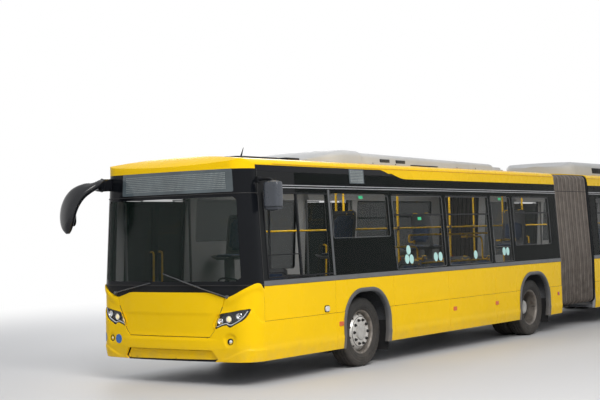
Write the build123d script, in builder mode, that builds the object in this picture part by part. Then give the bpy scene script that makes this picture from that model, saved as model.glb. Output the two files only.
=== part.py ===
# Articulated low-floor city bus: a front car with two axles, a bellows joint and a rear car with the engine.
# X runs to the bus's left (the driver's side), Y rearward and Z up, with the origin on the ground.
import os
from math import atan2, degrees, sqrt

from build123d import *

os.makedirs("parts", exist_ok=True)

# Stations, counted rearward from the foremost point
width = 2550
axle_1 = 2705
wheelbase = 5365
axle_2 = axle_1 + wheelbase
mask_end = 349
front_car_end = 9186
bellows_length = 1535
rear_car_start = front_car_end + bellows_length
pivot = front_car_end + bellows_length / 2
rear_reach = 4109  # from the bellows to the third axle
rear_overhang = 3160
axle_3 = rear_car_start + rear_reach
length = axle_3 + rear_overhang
tail_start = length - 330
mirror_forward = 500  # reach of the right mirror ahead of the front
front = -(length - mirror_forward) / 2  # place of the foremost point along Y

# Heights of the body section
skirt_z = 304
skirt_tuck = 20
crease_z = 470
waist_z = 1227
cowl_z = 1243
sign_z = 2386
eave_z = 2690
roof_corner_z = 2806
crown_z = 2892
lean = 0.065  # inward lean of the upper side per unit of height
rake = 0.022  # rearward lean of the windscreen per unit of height
wall = 50
roof_wall = 50
roof_corner_radius = 80

# Plan of the front and of the tail
bow_radius = 8000
corner_radius = 260
tail_corner_radius = 200
tail_bow_radius = 9000

# Clearances
seat_gap = 0.3  # between pieces that sit in or on each other
run_gap = 5  # between pieces that move past each other
clear_gap = 12  # between the body and the larger moving pieces

# Floor
floor_z = 310
floor_thickness = 50
floor_top = floor_z + floor_thickness
podium_start = length - 2430
podium_z = 800
casing_start = length - 1370
casing_z = 1400
casing_wall = 30

# Wheels
tyre_radius = 479
tyre_width = 275
tyre_bulge = 376  # radius where the tyre is widest
shoulder = 34  # height of the shoulder below the tread
shoulder_in = 6
tread_in = 30  # from the widest point to the edge of the tread
tread_drop = 5
rim_radius = 286
rim_width = 210
rim_wall = 14
flange_height = 34
flange_thickness = 7
hub_z = tyre_radius
wheel_x = 1050
twin_x = 905
twin_spacing = 312
spindle_radius = 30
bore_radius = spindle_radius + seat_gap
kingpin_x = 880
kingpin_radius = 20
hand_holes = 10
hand_hole_radius = 24
hand_hole_circle = 222
disc_root = 8  # how deep the disc reaches into the barrel

# Discs: distance outward from the wheel's middle and radius, round the section
single_disc = (
    (30, rim_radius - disc_root),
    (52, rim_radius - disc_root),
    (96, 190),
    (104, 150),
    (104, bore_radius),
    (30, bore_radius),
    (30, 60),
    (88, 60),
    (88, 150),
    (80, 186),
)
twin_root = (twin_spacing - rim_width) / 2
twin_disc = (
    (twin_root + 20, rim_radius - disc_root),
    (twin_root + 50, rim_radius - disc_root),
    (30, 210),
    (16, 190),
    (16, 150),
    (150, 120),
    (160, 104),
    (160, 60),
    (-120, 60),
    (-120, bore_radius),
    (-160, bore_radius),
    (-160, 90),
    (-16, 110),
    (-16, 190),
    (-twin_root - 50, rim_radius - disc_root),
    (-twin_root - 20, rim_radius - disc_root),
    (0, 220),
)

# Wheel arches in the side walls, and the boxes behind them
arch_half = 555
arch_top = 1045
arch_radius = 430
box_half = 660  # along the bus
box_top = 1120
box_inner_x = 515
box_wall = 20

# Windows: first and last station, sill and head height
window_head = 2394
window_sill = 1300
window_radius = 45
pane_thickness = 8
left_front_windows = (
    (470, 1890, window_sill, window_head),
    (1960, 3440, 1780, window_head),
    (3530, 5010, window_sill, window_head),
    (5098, 6540, window_sill, window_head),
    (6628, 7340, window_sill, window_head),
    (7430, 8860, 1552, window_head),
)
right_front_windows = (
    (1985, 3440, 1780, window_head),
    (3530, 4480, window_sill, window_head),
    (6270, 7340, window_sill, window_head),
    (7430, 8860, 1552, window_head),
)
# Doors: name, station of the centre
doors = (("door_1", 1125), ("door_2", 5375), ("door_3", axle_3 - 1905))
door_half = 625
door_margin = 270  # from a doorway to the nearest window
door_3_centre = doors[2][1]

# Windows of the rear car, spread between the bellows and the tail
window_post = 90
rear_glass_start = rear_car_start + 329
rear_glass_end = length - 1110
rear_pitch = (rear_glass_end - rear_glass_start + window_post) / 4
rear_glass_width = rear_pitch - window_post
rear_glass_last = rear_glass_end - rear_glass_width
left_rear_windows = (
    (rear_glass_start, rear_glass_start + rear_glass_width, window_sill, window_head),
    (rear_glass_start + rear_pitch, rear_glass_last - rear_pitch - window_post, window_sill, window_head),
    (rear_glass_last - rear_pitch, rear_glass_last - window_post, 1552, window_head),
    (rear_glass_last, rear_glass_end, 1552, window_head),
)
right_rear_windows = (
    (rear_glass_start, door_3_centre - door_half - door_margin, window_sill, window_head),
    (door_3_centre + door_half + door_margin, rear_glass_last - window_post, 1552, window_head),
    (rear_glass_last, rear_glass_end, 1552, window_head),
)

# Doors' posts, arms and leaves
door_sill = 342
door_head = 2400
post_setback = 40  # the door's post stands this far behind the edge of the doorway
post_radius = 18
post_depth = 150  # from the outer side to the post's centre
leaf_start = 63  # from the post's centre to the leaf's edge
leaf_gap = 6  # between the two leaves
leaf_thickness = 38
leaf_bottom = 387
leaf_top = 2360
leaf_frame = 62
leaf_rail = 74  # height of the frame above and below the glass
door_arm_thickness = 15
door_arm_width = 44
door_arm_waist = 34
door_pin_gap = run_gap + 1
door_pin_radius = 7
arm_length = (door_half + post_setback - leaf_gap / 2) / 2
header_depth = 235
header_top = 2560

# Front flap and headlamps: corners as distance from the middle and height
flap_half = ((660, 1157), (893, 1095), (812, 888), (742, 783), (772, 718), (665, 612))
lamp_corners = ((812, 888), (1210, 958), (1158, 846), (959, 735), (906, 765), (772, 718), (742, 783))
flap_gap = 7
lamp_gap = 1
flap_thickness = 15
insert_bottom = 352
insert_half = 640

# Rear lid and lamps
lid_half = 860
lid_bottom = 480
lid_top = 1330
lid_corner = 60
rear_window_half = 960
rear_window_sill = 1620
rear_window_head = 2300
rear_window_corner = 80

# Tail lamps: distance from the middle, height and radius
tail_lamps_table = ((1090, 560, 75), (1090, 760, 75), (1090, 960, 75), (1090, 1160, 75), (1060, 2560, 45))


def at(station):
    """Y of a station."""
    return front + station


def cross(station):
    """Plane across the bus at a station: its x runs to the left and its y up."""
    return Plane.XZ.offset(-at(station))


def side_x(z):
    """Half-width of the outer side at a height."""
    if z < crease_z:
        return width / 2 - skirt_tuck * (crease_z - z) / (crease_z - skirt_z)
    return width / 2 - lean * max(0, z - waist_z)


def side_band(side, bottom, top, outer_inset, inner_inset):
    """Section of a side's wall between two heights, on the left (1) or the right (-1)."""
    heights = [bottom] + [z for z in (crease_z, waist_z) if bottom < z < top] + [top]
    outer = [(side * (side_x(z) - outer_inset), z) for z in heights]
    inner = [(side * (side_x(z) - inner_inset), z) for z in reversed(heights)]
    with BuildSketch() as band:
        with BuildLine():
            Polyline(*outer, *inner, close=True)
        make_face()
    return band.sketch


def roof_face(inset, bottom=eave_z):
    """Section of the roof down to a height, drawn in from its outside by an inset."""
    corner_x = side_x(roof_corner_z) - inset
    corner_z = roof_corner_z - inset
    foot_x = side_x(bottom) - inset
    with BuildSketch() as face:
        with BuildLine():
            ThreePointArc((-corner_x, corner_z), (0, crown_z - inset), (corner_x, corner_z))
            Polyline((corner_x, corner_z), (foot_x, bottom), (-foot_x, bottom), (-corner_x, corner_z))
        make_face()
        fillet(face.vertices().group_by(Axis.Y)[-1], roof_corner_radius - inset)
    return face.sketch


def ceiling_z(x):
    """Height of the ceiling at a distance from the middle."""
    rise = crown_z - roof_corner_z
    half_chord = side_x(roof_corner_z) - roof_wall
    radius = (half_chord**2 + rise**2) / (2 * rise)
    return crown_z - roof_wall - radius + sqrt(radius**2 - x**2)


def end_plan(z, set_back, inset, corner, bow, depth):
    """Outline of a rounded end: corners of the rim from the left side round to the right side.

    The foremost point lies at set_back + inset, and the rim ends at depth.
    """
    half = side_x(z) - inset
    corner_r = corner - inset
    bow_r = bow - inset
    centre_x = half - corner_r
    start = set_back + inset
    centre_y = start + bow_r - sqrt((bow_r - corner_r) ** 2 - centre_x**2)
    reach = bow_r / (bow_r - corner_r)
    touch = (centre_x * reach, start + bow_r + (centre_y - start - bow_r) * reach)
    mid = Vector(half - centre_x, 0) + Vector(touch[0] - centre_x, touch[1] - centre_y)
    mid = Vector(centre_x, centre_y) + mid.normalized() * corner_r
    return (half, depth), (half, centre_y), (mid.X, mid.Y), touch, (0, start)


def end_ring(z, set_back, thickness, corner, bow, depth, outer_inset=0, turn=1):
    """Plan of a rounded end wall at a height, open at the back, for the front (1) or the tail (-1)."""
    origin_y = front if turn == 1 else front + length
    rims = []
    for inset in (outer_inset, outer_inset + thickness):
        points = end_plan(z, set_back, inset, corner, bow, depth)
        rims.append([(x, origin_y + turn * y) for x, y in points])
    with BuildSketch() as ring:
        with BuildLine():
            for end, side, mid, touch, nose in rims:
                mirrored = [(-x, y) for x, y in (end, side, mid, touch)]
                Line(end, side)
                ThreePointArc(side, mid, touch)
                ThreePointArc(touch, nose, mirrored[3])
                ThreePointArc(mirrored[3], mirrored[2], mirrored[1])
                Line(mirrored[1], mirrored[0])
            for sign in (1, -1):
                Line((sign * rims[0][0][0], rims[0][0][1]), (sign * rims[1][0][0], rims[1][0][1]))
        make_face()
    return ring.sketch


def end_wall(levels, thickness, corner, bow, depth, outer_inset=0, turn=1):
    """Rounded end wall through a few plans, given as height and set-back."""
    with BuildPart() as shell:
        for z, set_back in levels:
            with BuildSketch(Plane.XY.offset(z)):
                add(end_ring(z, set_back, thickness, corner, bow, depth, outer_inset, turn))
        loft(ruled=True)
    return shell.part


def end_face(z, set_back, inset, corner, bow, depth, turn=1):
    """Filled plan of a rounded end at a height."""
    points = end_plan(z, set_back, inset, corner, bow, depth)
    origin_y = front if turn == 1 else front + length
    end, side, mid, touch, nose = [(x, origin_y + turn * y) for x, y in points]
    end_r, side_r, mid_r, touch_r = [(-x, y) for x, y in (end, side, mid, touch)]
    with BuildSketch() as face:
        with BuildLine():
            Line(end, side)
            ThreePointArc(side, mid, touch)
            ThreePointArc(touch, nose, touch_r)
            ThreePointArc(touch_r, mid_r, side_r)
            Polyline(side_r, end_r, end)
        make_face()
    return face.sketch


def end_block(z, set_back, inset, corner, bow, depth, turn=1):
    """Upright solid of an end's plan at one height, used to round what ends there."""
    with BuildPart() as block:
        with BuildSketch():
            add(end_face(z, set_back, inset, corner, bow, depth, turn))
        extrude(amount=2 * crown_z)
    return block.part


def window_cut(windows, side):
    """Prisms through a side wall at its windows."""
    with BuildPart() as cuts:
        with BuildSketch(Plane.YZ.offset(side * width / 4)):
            for first, last, sill, head in windows:
                with Locations((at((first + last) / 2), (sill + head) / 2)):
                    RectangleRounded(last - first, head - sill, window_radius)
        extrude(amount=side * width / 2)
    return cuts.part


def window_panes(windows, side):
    """Panes that sit flush in a side wall's windows."""
    first = min(row[0] for row in windows)
    last = max(row[1] for row in windows)
    with BuildPart() as panes:
        with BuildSketch(cross(first)):
            add(side_band(side, waist_z, window_head, 0, pane_thickness))
        extrude(amount=-(last - first))
        with BuildSketch(Plane.YZ.offset(side * width / 4)):
            for first, last, sill, head in windows:
                with Locations((at((first + last) / 2), (sill + head) / 2)):
                    RectangleRounded(
                        last - first - 2 * seat_gap, head - sill - 2 * seat_gap, window_radius - seat_gap
                    )
        extrude(amount=side * width / 2, mode=Mode.INTERSECT)
    return panes.part


def arch_cut(axle, side):
    """Prism through a side wall at a wheel arch."""
    with BuildPart() as cut:
        with BuildSketch(Plane.YZ.offset(side * width / 4)) as outline:
            with Locations((at(axle), arch_top / 2)):
                Rectangle(2 * arch_half, arch_top)
            fillet(outline.vertices().group_by(Axis.Y)[-1], arch_radius)
        extrude(amount=side * width / 2)
    return cut.part


def door_cut(centre):
    """Prism through the right wall at a doorway."""
    with BuildPart() as cut:
        with BuildSketch(Plane.YZ.offset(-width / 4)):
            with Locations((at(centre), (door_sill + door_head) / 2)):
                Rectangle(2 * door_half, door_head - door_sill)
        extrude(amount=-width / 2)
    return cut.part


def door_header(centre):
    """Housing of a door's drive above the doorway, on the inside of the right wall."""
    header_half = door_half + post_setback + 2 * post_radius
    with BuildPart() as header:
        with BuildSketch(cross(centre - header_half)):
            with BuildLine():
                Polyline(
                    (-side_x(door_head) + wall / 2, door_head),
                    (-side_x(header_top) + wall / 2, header_top),
                    (-width / 2 + header_depth - wall, header_top),
                    (-width / 2 + header_depth, door_head),
                    close=True,
                )
            make_face()
        extrude(amount=-2 * header_half)
    return header.part


def side_wall(side, first, last, windows, axles, door_centres):
    """Side wall of one car with its windows, wheel arches and doorways."""
    with BuildPart() as shell:
        with BuildSketch(cross(first)):
            add(side_band(side, skirt_z, eave_z, 0, wall))
        extrude(amount=-(last - first))
        add(window_cut(windows, side), mode=Mode.SUBTRACT)
        for axle in axles:
            add(arch_cut(axle, side), mode=Mode.SUBTRACT)
        for centre in door_centres:
            add(door_cut(centre), mode=Mode.SUBTRACT)
            add(door_header(centre))
    return shell.part


def wheel_box(axle, side):
    """Box over a wheel, open below and towards the wall, with the room that it encloses."""
    with BuildPart() as cover:
        with BuildSketch(cross(axle - box_half)):
            with BuildLine():
                Polyline(
                    (side * box_inner_x, floor_z),
                    (side * (side_x(floor_z) - wall - seat_gap), floor_z),
                    (side * (side_x(crease_z) - wall - seat_gap), crease_z),
                    (side * (side_x(box_top) - wall - seat_gap), box_top),
                    (side * box_inner_x, box_top),
                    close=True,
                )
            make_face()
        extrude(amount=-2 * box_half)
    with BuildPart() as room:
        with BuildSketch(Plane.XY):
            with Locations((side * (box_inner_x + box_wall + width / 2) / 2, at(axle))):
                Rectangle(width / 2 - box_inner_x - box_wall, 2 * (box_half - box_wall))
        extrude(amount=box_top - box_wall)
    return cover.part, room.part


def tyre(centre_x, axle):
    """Tyre with a crowned tread and bulging sidewalls."""
    bead = (rim_width / 2 - seat_gap, rim_radius)
    bead_top = (bead[0], rim_radius + flange_height / 2 + 1)
    half = tyre_width / 2
    outline = [bead, bead_top, (half, tyre_bulge), (half - shoulder_in, tyre_radius - shoulder)]
    edge = (half - tread_in, tyre_radius - tread_drop)
    with BuildPart() as ring:
        with BuildSketch(cross(axle)):
            with BuildLine():
                Polyline(*outline, edge)
                ThreePointArc(edge, (0, tyre_radius), (-edge[0], edge[1]))
                Polyline((-edge[0], edge[1]), *[(-x, r) for x, r in reversed(outline)], bead)
            make_face()
        revolve(axis=Axis((0, at(axle), 0), (1, 0, 0)))
    return Pos(centre_x, 0, hub_z) * ring.part


def barrel(centre_x):
    """Half-section of a rim's barrel with its two flanges, as rectangles about its middle."""
    with BuildSketch() as section:
        with Locations((centre_x, rim_radius - seat_gap - rim_wall / 2)):
            Rectangle(rim_width, rim_wall)
        for edge in (-1, 1):
            with Locations((centre_x + edge * (rim_width + flange_thickness) / 2, rim_radius)):
                Rectangle(flange_thickness, flange_height)
    return section.sketch


def rim(side, axle, centre_x, barrels, disc):
    """Steel wheel turned about its axle: its barrels, with the disc that joins them to the hub."""
    with BuildPart() as turned:
        with BuildSketch(cross(axle)):
            for middle in barrels:
                add(barrel(middle))
            with BuildLine():
                Polyline(*disc, close=True)
            make_face()
        revolve(axis=Axis((0, at(axle), 0), (1, 0, 0)))
        with BuildSketch(Plane.YZ.offset(-twin_x)):
            with Locations((at(axle), 0)):
                with PolarLocations(hand_hole_circle, hand_holes):
                    Circle(hand_hole_radius)
        extrude(amount=2 * twin_x, mode=Mode.SUBTRACT)
    handed = turned.part if side == 1 else mirror(turned.part, about=Plane.YZ)
    return Pos(side * centre_x, 0, hub_z) * handed


# Side view of a seat that faces forward: distance rearward and height from the foot of its pedestal
seat_outline = (
    (120, 0),
    (300, 0),
    (280, 350),
    (430, 365),
    (520, 1010),
    (505, 1050),
    (465, 1040),
    (375, 460),
    (15, 470),
    (0, 430),
    (20, 375),
    (150, 350),
)
seat_width = 430
with BuildSketch() as seat_side:
    with BuildLine():
        Polyline(*seat_outline, close=True)
    make_face()


def seat(x, station, base, facing):
    """Seat at a place: facing is 1 for forward and -1 for rearward."""
    with BuildPart() as chair:
        with BuildSketch(Plane.YZ.offset(-seat_width / 2)):
            add(seat_side.sketch)
        extrude(amount=seat_width)
    turned = chair.part if facing == 1 else mirror(chair.part, about=Plane.XZ)
    return Pos(x, at(station), base + seat_gap) * turned


# Hinges of the front flap and of the rear lid: two on each, with a lug between two ears on a pin
hinge_x = 300
hinge_radius = 9
hinge_pin_radius = 5
lug_half = 15
ear_start = lug_half + run_gap
ear_end = ear_start + 18
hinge_root = 30  # how deep lugs and ears reach into the sheet
hinge_play = 7  # room above and below what turns
lug_rise = 2 * hinge_radius + 2
ear_drop = 25
flap_axis = (at(0), 1155, -1)
lid_axis = (at(length), 1325, 1)


def hinge_parts(axis, spans, low, high):
    """Blocks at both hinges over some spans beside their middles, between two heights about the axis."""
    y, z, outward = axis
    with BuildPart() as blocks:
        for middle in (-hinge_x, hinge_x):
            for first, last in spans:
                with BuildSketch(Plane.YZ.offset(middle + first)):
                    with Locations((y + outward * (hinge_radius - hinge_root) / 2, z + (low + high) / 2)):
                        Rectangle(hinge_radius + hinge_root, high - low)
                    with Locations((y, z)):
                        Circle(hinge_radius)
                extrude(amount=last - first)
    return blocks.part


def hinge_pins(axis, half, radius):
    """Pins of both hinges."""
    y, z, outward = axis
    with BuildPart() as pins:
        for middle in (-hinge_x, hinge_x):
            with BuildSketch(Plane.YZ.offset(middle - half)):
                with Locations((y, z)):
                    Circle(radius)
            extrude(amount=2 * half)
    return pins.part


def hinge_room(axis, half, low, high):
    """Notches at both hinges through the whole sheet."""
    y, z, outward = axis
    with BuildPart() as room:
        with Locations(*[(middle, y, z + (low + high) / 2) for middle in (-hinge_x, hinge_x)]):
            Box(2 * half, 4 * wall, high - low)
    return room.part


def hinge_lugs(axis):
    """Fixed lugs with their pins."""
    lugs = hinge_parts(axis, [(-lug_half, lug_half)], 0, lug_rise)
    return lugs + hinge_pins(axis, ear_end, hinge_pin_radius)


def hinge_ears(axis):
    """Moving ears with their bores."""
    ears = hinge_parts(axis, [(-ear_end, -ear_start), (ear_start, ear_end)], -ear_drop, 0)
    return ears - hinge_pins(axis, ear_end + 1, hinge_pin_radius + seat_gap)


# Front: mask, flap, headlamps, windscreen and the sign above it
skirt_set_back = 22
mask_levels = ((skirt_z, skirt_set_back), (crease_z, 0), (cowl_z, 0))
mask_blank = end_wall(mask_levels, wall, corner_radius, bow_radius, mask_end)
flap_blank = end_wall(mask_levels, flap_thickness, corner_radius, bow_radius, mask_end)

with BuildSketch() as flap_sketch:
    with BuildLine():
        Polyline(*flap_half, *[(-x, z) for x, z in reversed(flap_half)], close=True)
    make_face()
with BuildSketch() as lamp_sketch:
    with BuildLine():
        Polyline(*lamp_corners, close=True)
    make_face()
    mirror(about=Plane.YZ)

with BuildPart() as front_mask:
    add(mask_blank)
    with BuildSketch(cross(-wall)):
        add(flap_sketch.sketch)
        add(lamp_sketch.sketch)
    extrude(amount=-(wall + mask_end + 1), mode=Mode.SUBTRACT)
    with BuildSketch(cross(-wall)):
        with Locations((0, skirt_z)):
            Rectangle(2 * insert_half, 2 * (insert_bottom - skirt_z))
    extrude(amount=-3 * wall, mode=Mode.SUBTRACT)
    add(hinge_room(flap_axis, ear_end + hinge_play, -run_gap, hinge_radius + hinge_play), mode=Mode.SUBTRACT)
    add(hinge_lugs(flap_axis))
front_mask.part.label = "front_mask"

with BuildPart() as front_flap:
    add(flap_blank)
    with BuildSketch(cross(-wall)):
        offset(flap_sketch.sketch, amount=-flap_gap)
    extrude(amount=-wall - mask_end - 1, mode=Mode.INTERSECT)
    add(hinge_room(flap_axis, ear_start, -hinge_radius - hinge_play, 0), mode=Mode.SUBTRACT)
    add(hinge_ears(flap_axis))
front_flap.part.label = "front_flap"

with BuildPart() as headlamps:
    add(mask_blank)
    with BuildSketch(cross(-wall)):
        offset(lamp_sketch.sketch, amount=-lamp_gap)
    extrude(amount=-wall - mask_end - 1, mode=Mode.INTERSECT)
headlamps.part.label = "headlamps"

screen_levels = ((cowl_z + seat_gap, 0), (sign_z, rake * (sign_z - cowl_z)))
windscreen_part = end_wall(screen_levels, pane_thickness, corner_radius, bow_radius, mask_end)
windscreen_part.label = "windscreen"

sign_levels = (
    (sign_z + seat_gap, rake * (sign_z - cowl_z)),
    (eave_z, rake * (eave_z - cowl_z)),
)
sign_part = end_wall(sign_levels, wall, corner_radius, bow_radius, mask_end)
sign_part.label = "front_sign"

# Side walls of both cars
left_wall_front_part = side_wall(
    1, mask_end + seat_gap, front_car_end, left_front_windows, (axle_1, axle_2), ()
)
left_wall_front_part.label = "left_wall_front"
right_wall_front_part = side_wall(
    -1,
    mask_end + seat_gap,
    front_car_end,
    right_front_windows,
    (axle_1, axle_2),
    [centre for name, centre in doors if centre < front_car_end],
)
right_wall_front_part.label = "right_wall_front"
left_wall_rear_part = side_wall(1, rear_car_start, tail_start, left_rear_windows, (axle_3,), ())
left_wall_rear_part.label = "left_wall_rear"
right_wall_rear_part = side_wall(
    -1,
    rear_car_start,
    tail_start,
    right_rear_windows,
    (axle_3,),
    [centre for name, centre in doors if centre > front_car_end],
)
right_wall_rear_part.label = "right_wall_rear"

with BuildPart() as windows_front:
    add(window_panes(left_front_windows, 1))
    add(window_panes(right_front_windows, -1))
windows_front.part.label = "windows_front"
with BuildPart() as windows_rear:
    add(window_panes(left_rear_windows, 1))
    add(window_panes(right_rear_windows, -1))
windows_rear.part.label = "windows_rear"

# Roofs: arched shells, rounded at the front and at the tail
cap_solid = 330  # length of the closed end of the roof
cap_end = 700  # where the arched cap meets the roof
cap_edge_z = eave_z + 40
cap_mid_z = crown_z - 60
above_roof = crown_z + 2
eave_set_back = rake * (eave_z - cowl_z)
with BuildPart() as roof_front:
    with BuildSketch(cross(0)):
        add(roof_face(0, eave_z + seat_gap))
    extrude(amount=-front_car_end)
    with BuildSketch(cross(cap_solid)):
        add(roof_face(roof_wall, eave_z))
    extrude(amount=-front_car_end, mode=Mode.SUBTRACT)
    with BuildSketch(Plane.YZ.offset(-width / 2)):
        with BuildLine():
            ThreePointArc(
                (at(0), cap_edge_z), (at(cap_end / 4), cap_mid_z), (at(cap_end), above_roof)
            )
            Polyline(
                (at(cap_end), above_roof),
                (at(front_car_end), above_roof),
                (at(front_car_end), eave_z),
                (at(0), eave_z),
                (at(0), cap_edge_z),
            )
        make_face()
    extrude(amount=width, mode=Mode.INTERSECT)
    add(end_block(eave_z, eave_set_back, 0, corner_radius, bow_radius, front_car_end), mode=Mode.INTERSECT)
roof_front.part.label = "roof_front"

with BuildPart() as roof_rear:
    with BuildSketch(cross(rear_car_start)):
        add(roof_face(0, eave_z + seat_gap))
    extrude(amount=-(length - rear_car_start))
    with BuildSketch(cross(rear_car_start)):
        add(roof_face(roof_wall, eave_z))
    extrude(amount=-(length - rear_car_start - cap_solid), mode=Mode.SUBTRACT)
    with BuildSketch(Plane.YZ.offset(-width / 2)):
        with BuildLine():
            ThreePointArc(
                (at(length), cap_edge_z),
                (at(length - cap_end / 4), cap_mid_z),
                (at(length - cap_end), above_roof),
            )
            Polyline(
                (at(length - cap_end), above_roof),
                (at(rear_car_start), above_roof),
                (at(rear_car_start), eave_z),
                (at(length), eave_z),
                (at(length), cap_edge_z),
            )
        make_face()
    extrude(amount=width, mode=Mode.INTERSECT)
    add(
        end_block(
            eave_z, eave_set_back, 0, tail_corner_radius, tail_bow_radius, length - rear_car_start, -1
        ),
        mode=Mode.INTERSECT,
    )
roof_rear.part.label = "roof_rear"

# Rear wall with its window, lamp holes and the opening of the engine lid
tail_skirt_set_back = 40
tail_levels = ((skirt_z, tail_skirt_set_back), (crease_z, 10), (waist_z, 0), (eave_z, eave_set_back))
tail_depth = length - tail_start
tail_blank = end_wall(tail_levels, wall, tail_corner_radius, tail_bow_radius, tail_depth - seat_gap, 0, -1)
lid_blank = end_wall(tail_levels, flap_thickness, tail_corner_radius, tail_bow_radius, tail_depth, 0, -1)
pane_blank = end_wall(tail_levels, pane_thickness, tail_corner_radius, tail_bow_radius, tail_depth, 0, -1)


def rear_outline(half, bottom, top, radius):
    """Rounded rectangle of the rear wall, about the middle."""
    with BuildSketch() as outline:
        with Locations((0, (bottom + top) / 2)):
            RectangleRounded(2 * half, top - bottom, radius)
    return outline.sketch


with BuildPart() as rear_wall:
    add(tail_blank)
    with BuildSketch(cross(length + wall)):
        add(rear_outline(lid_half, lid_bottom, lid_top, lid_corner))
        add(rear_outline(rear_window_half, rear_window_sill, rear_window_head, rear_window_corner))
        for x, z, radius in tail_lamps_table:
            with Locations((x, z), (-x, z)):
                Circle(radius)
    extrude(amount=tail_depth, mode=Mode.SUBTRACT)
    add(hinge_room(lid_axis, ear_end + hinge_play, 0, hinge_radius + hinge_play), mode=Mode.SUBTRACT)
    add(hinge_lugs(lid_axis))
rear_wall.part.label = "rear_wall"

with BuildPart() as tail_lamps:
    add(tail_blank)
    with BuildSketch(cross(length + wall)):
        for x, z, radius in tail_lamps_table:
            with Locations((x, z), (-x, z)):
                Circle(radius - lamp_gap)
    extrude(amount=tail_depth, mode=Mode.INTERSECT)
tail_lamps.part.label = "tail_lamps"

with BuildPart() as engine_lid:
    add(lid_blank)
    with BuildSketch(cross(length + wall)):
        add(
            rear_outline(
                lid_half - clear_gap, lid_bottom + clear_gap, lid_top - clear_gap, lid_corner - clear_gap
            )
        )
    extrude(amount=tail_depth, mode=Mode.INTERSECT)
    add(hinge_room(lid_axis, ear_start, -hinge_radius - hinge_play, 0), mode=Mode.SUBTRACT)
    add(hinge_ears(lid_axis))
engine_lid.part.label = "engine_lid"

with BuildPart() as rear_pane:
    add(pane_blank)
    with BuildSketch(cross(length + wall)):
        add(
            rear_outline(
                rear_window_half - seat_gap,
                rear_window_sill + seat_gap,
                rear_window_head - seat_gap,
                rear_window_corner - seat_gap,
            )
        )
    extrude(amount=tail_depth, mode=Mode.INTERSECT)
windows_rear.part = windows_rear.part + rear_pane.part
windows_rear.part.label = "windows_rear"

# Floors with the wheel boxes
inner_half = width / 2 - skirt_tuck - wall - seat_gap


def wheel_boxes(axles):
    """Boxes over the wheels of one car, with the room that they enclose."""
    boxes = [wheel_box(axle, side) for axle in axles for side in (1, -1)]
    return [cover for cover, room in boxes], [room for cover, room in boxes]


def floor_plate(first, last):
    """Low floor of one car."""
    with BuildPart() as plate:
        with BuildSketch(Plane.XY.offset(floor_z)):
            with Locations((0, at((first + last) / 2))):
                Rectangle(2 * inner_half, last - first)
        extrude(amount=floor_thickness)
    return plate.part


front_covers, front_rooms = wheel_boxes((axle_1, axle_2))
with BuildPart() as wheel_boxes_front:
    for cover in front_covers:
        add(cover)
    for room in front_rooms:
        add(room, mode=Mode.SUBTRACT)
wheel_boxes_front.part.label = "wheel_boxes_front"

with BuildPart() as floor_nose:
    add(end_block(skirt_z, skirt_set_back, wall + seat_gap, corner_radius, bow_radius, mask_end))
    with BuildSketch(Plane.XY.offset(floor_z)):
        with Locations((0, at(mask_end / 2))):
            Rectangle(width, mask_end)
    extrude(amount=floor_thickness, mode=Mode.INTERSECT)
with BuildPart() as floor_front:
    add(floor_plate(mask_end, front_car_end))
    add(floor_nose.part)
    with BuildSketch(Plane.XY.offset(floor_z)):
        for axle in (axle_1, axle_2):
            for side in (1, -1):
                with Locations((side * (box_inner_x + width / 2) / 2, at(axle))):
                    Rectangle(width / 2 - box_inner_x + 2 * seat_gap, 2 * (box_half + seat_gap))
    extrude(amount=floor_thickness, mode=Mode.SUBTRACT)
floor_front.part.label = "floor_front"

with BuildPart() as floor_rear:
    add(floor_plate(rear_car_start, podium_start + floor_thickness))
    rear_covers, rear_rooms = wheel_boxes((axle_3,))
    for cover in rear_covers:
        add(cover)
    for room in rear_rooms:
        add(room, mode=Mode.SUBTRACT)
    with BuildSketch(Plane.YZ.offset(-inner_half)):
        with BuildLine():
            Polyline(
                (at(podium_start), floor_z),
                (at(podium_start + floor_thickness), floor_z),
                (at(podium_start + floor_thickness), podium_z - casing_wall),
                (at(casing_start + casing_wall), podium_z - casing_wall),
                (at(casing_start + casing_wall), casing_z - casing_wall),
                (at(length - 2 * wall), casing_z - casing_wall),
                (at(length - 2 * wall), casing_z),
                (at(casing_start), casing_z),
                (at(casing_start), podium_z),
                (at(podium_start), podium_z),
                close=True,
            )
        make_face()
    extrude(amount=2 * inner_half)
    add(
        end_block(
            skirt_z,
            tail_skirt_set_back,
            wall + seat_gap,
            tail_corner_radius,
            tail_bow_radius,
            length - rear_car_start,
            -1,
        ),
        mode=Mode.INTERSECT,
    )
floor_rear.part.label = "floor_rear"

# Dashboard with the steering wheel. Its side view is given as station and height
dash_outline = (
    (200, floor_top + seat_gap),
    (330, floor_top + seat_gap),
    (330, 800),
    (560, 1020),
    (520, 1130),
    (200, 1190),
)
dash_right = -420
dash_width = 1500
driver_x = 620
column_foot = Vector(driver_x, at(500), 1020)
column_way = Vector(0, 0.42, 0.91)
column_radius = 30
column_length = 240
wheel_rim_radius = 225
wheel_rim_width = 25
wheel_thickness = 28
spoke_width = 40
with BuildPart() as dashboard:
    with BuildSketch(Plane.YZ.offset(dash_right)):
        with BuildLine():
            Polyline(*[(at(station), z) for station, z in dash_outline], close=True)
        make_face()
    extrude(amount=dash_width)
    with BuildSketch(Plane(origin=column_foot, z_dir=column_way)):
        Circle(column_radius)
    extrude(amount=column_length)
    with BuildSketch(Plane(origin=column_foot + column_way * (column_length - run_gap), z_dir=column_way)):
        Circle(wheel_rim_radius)
        Circle(wheel_rim_radius - wheel_rim_width, mode=Mode.SUBTRACT)
        Rectangle(2 * wheel_rim_radius - wheel_rim_width, spoke_width)
    extrude(amount=wheel_thickness)
dashboard.part.label = "dashboard"

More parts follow.
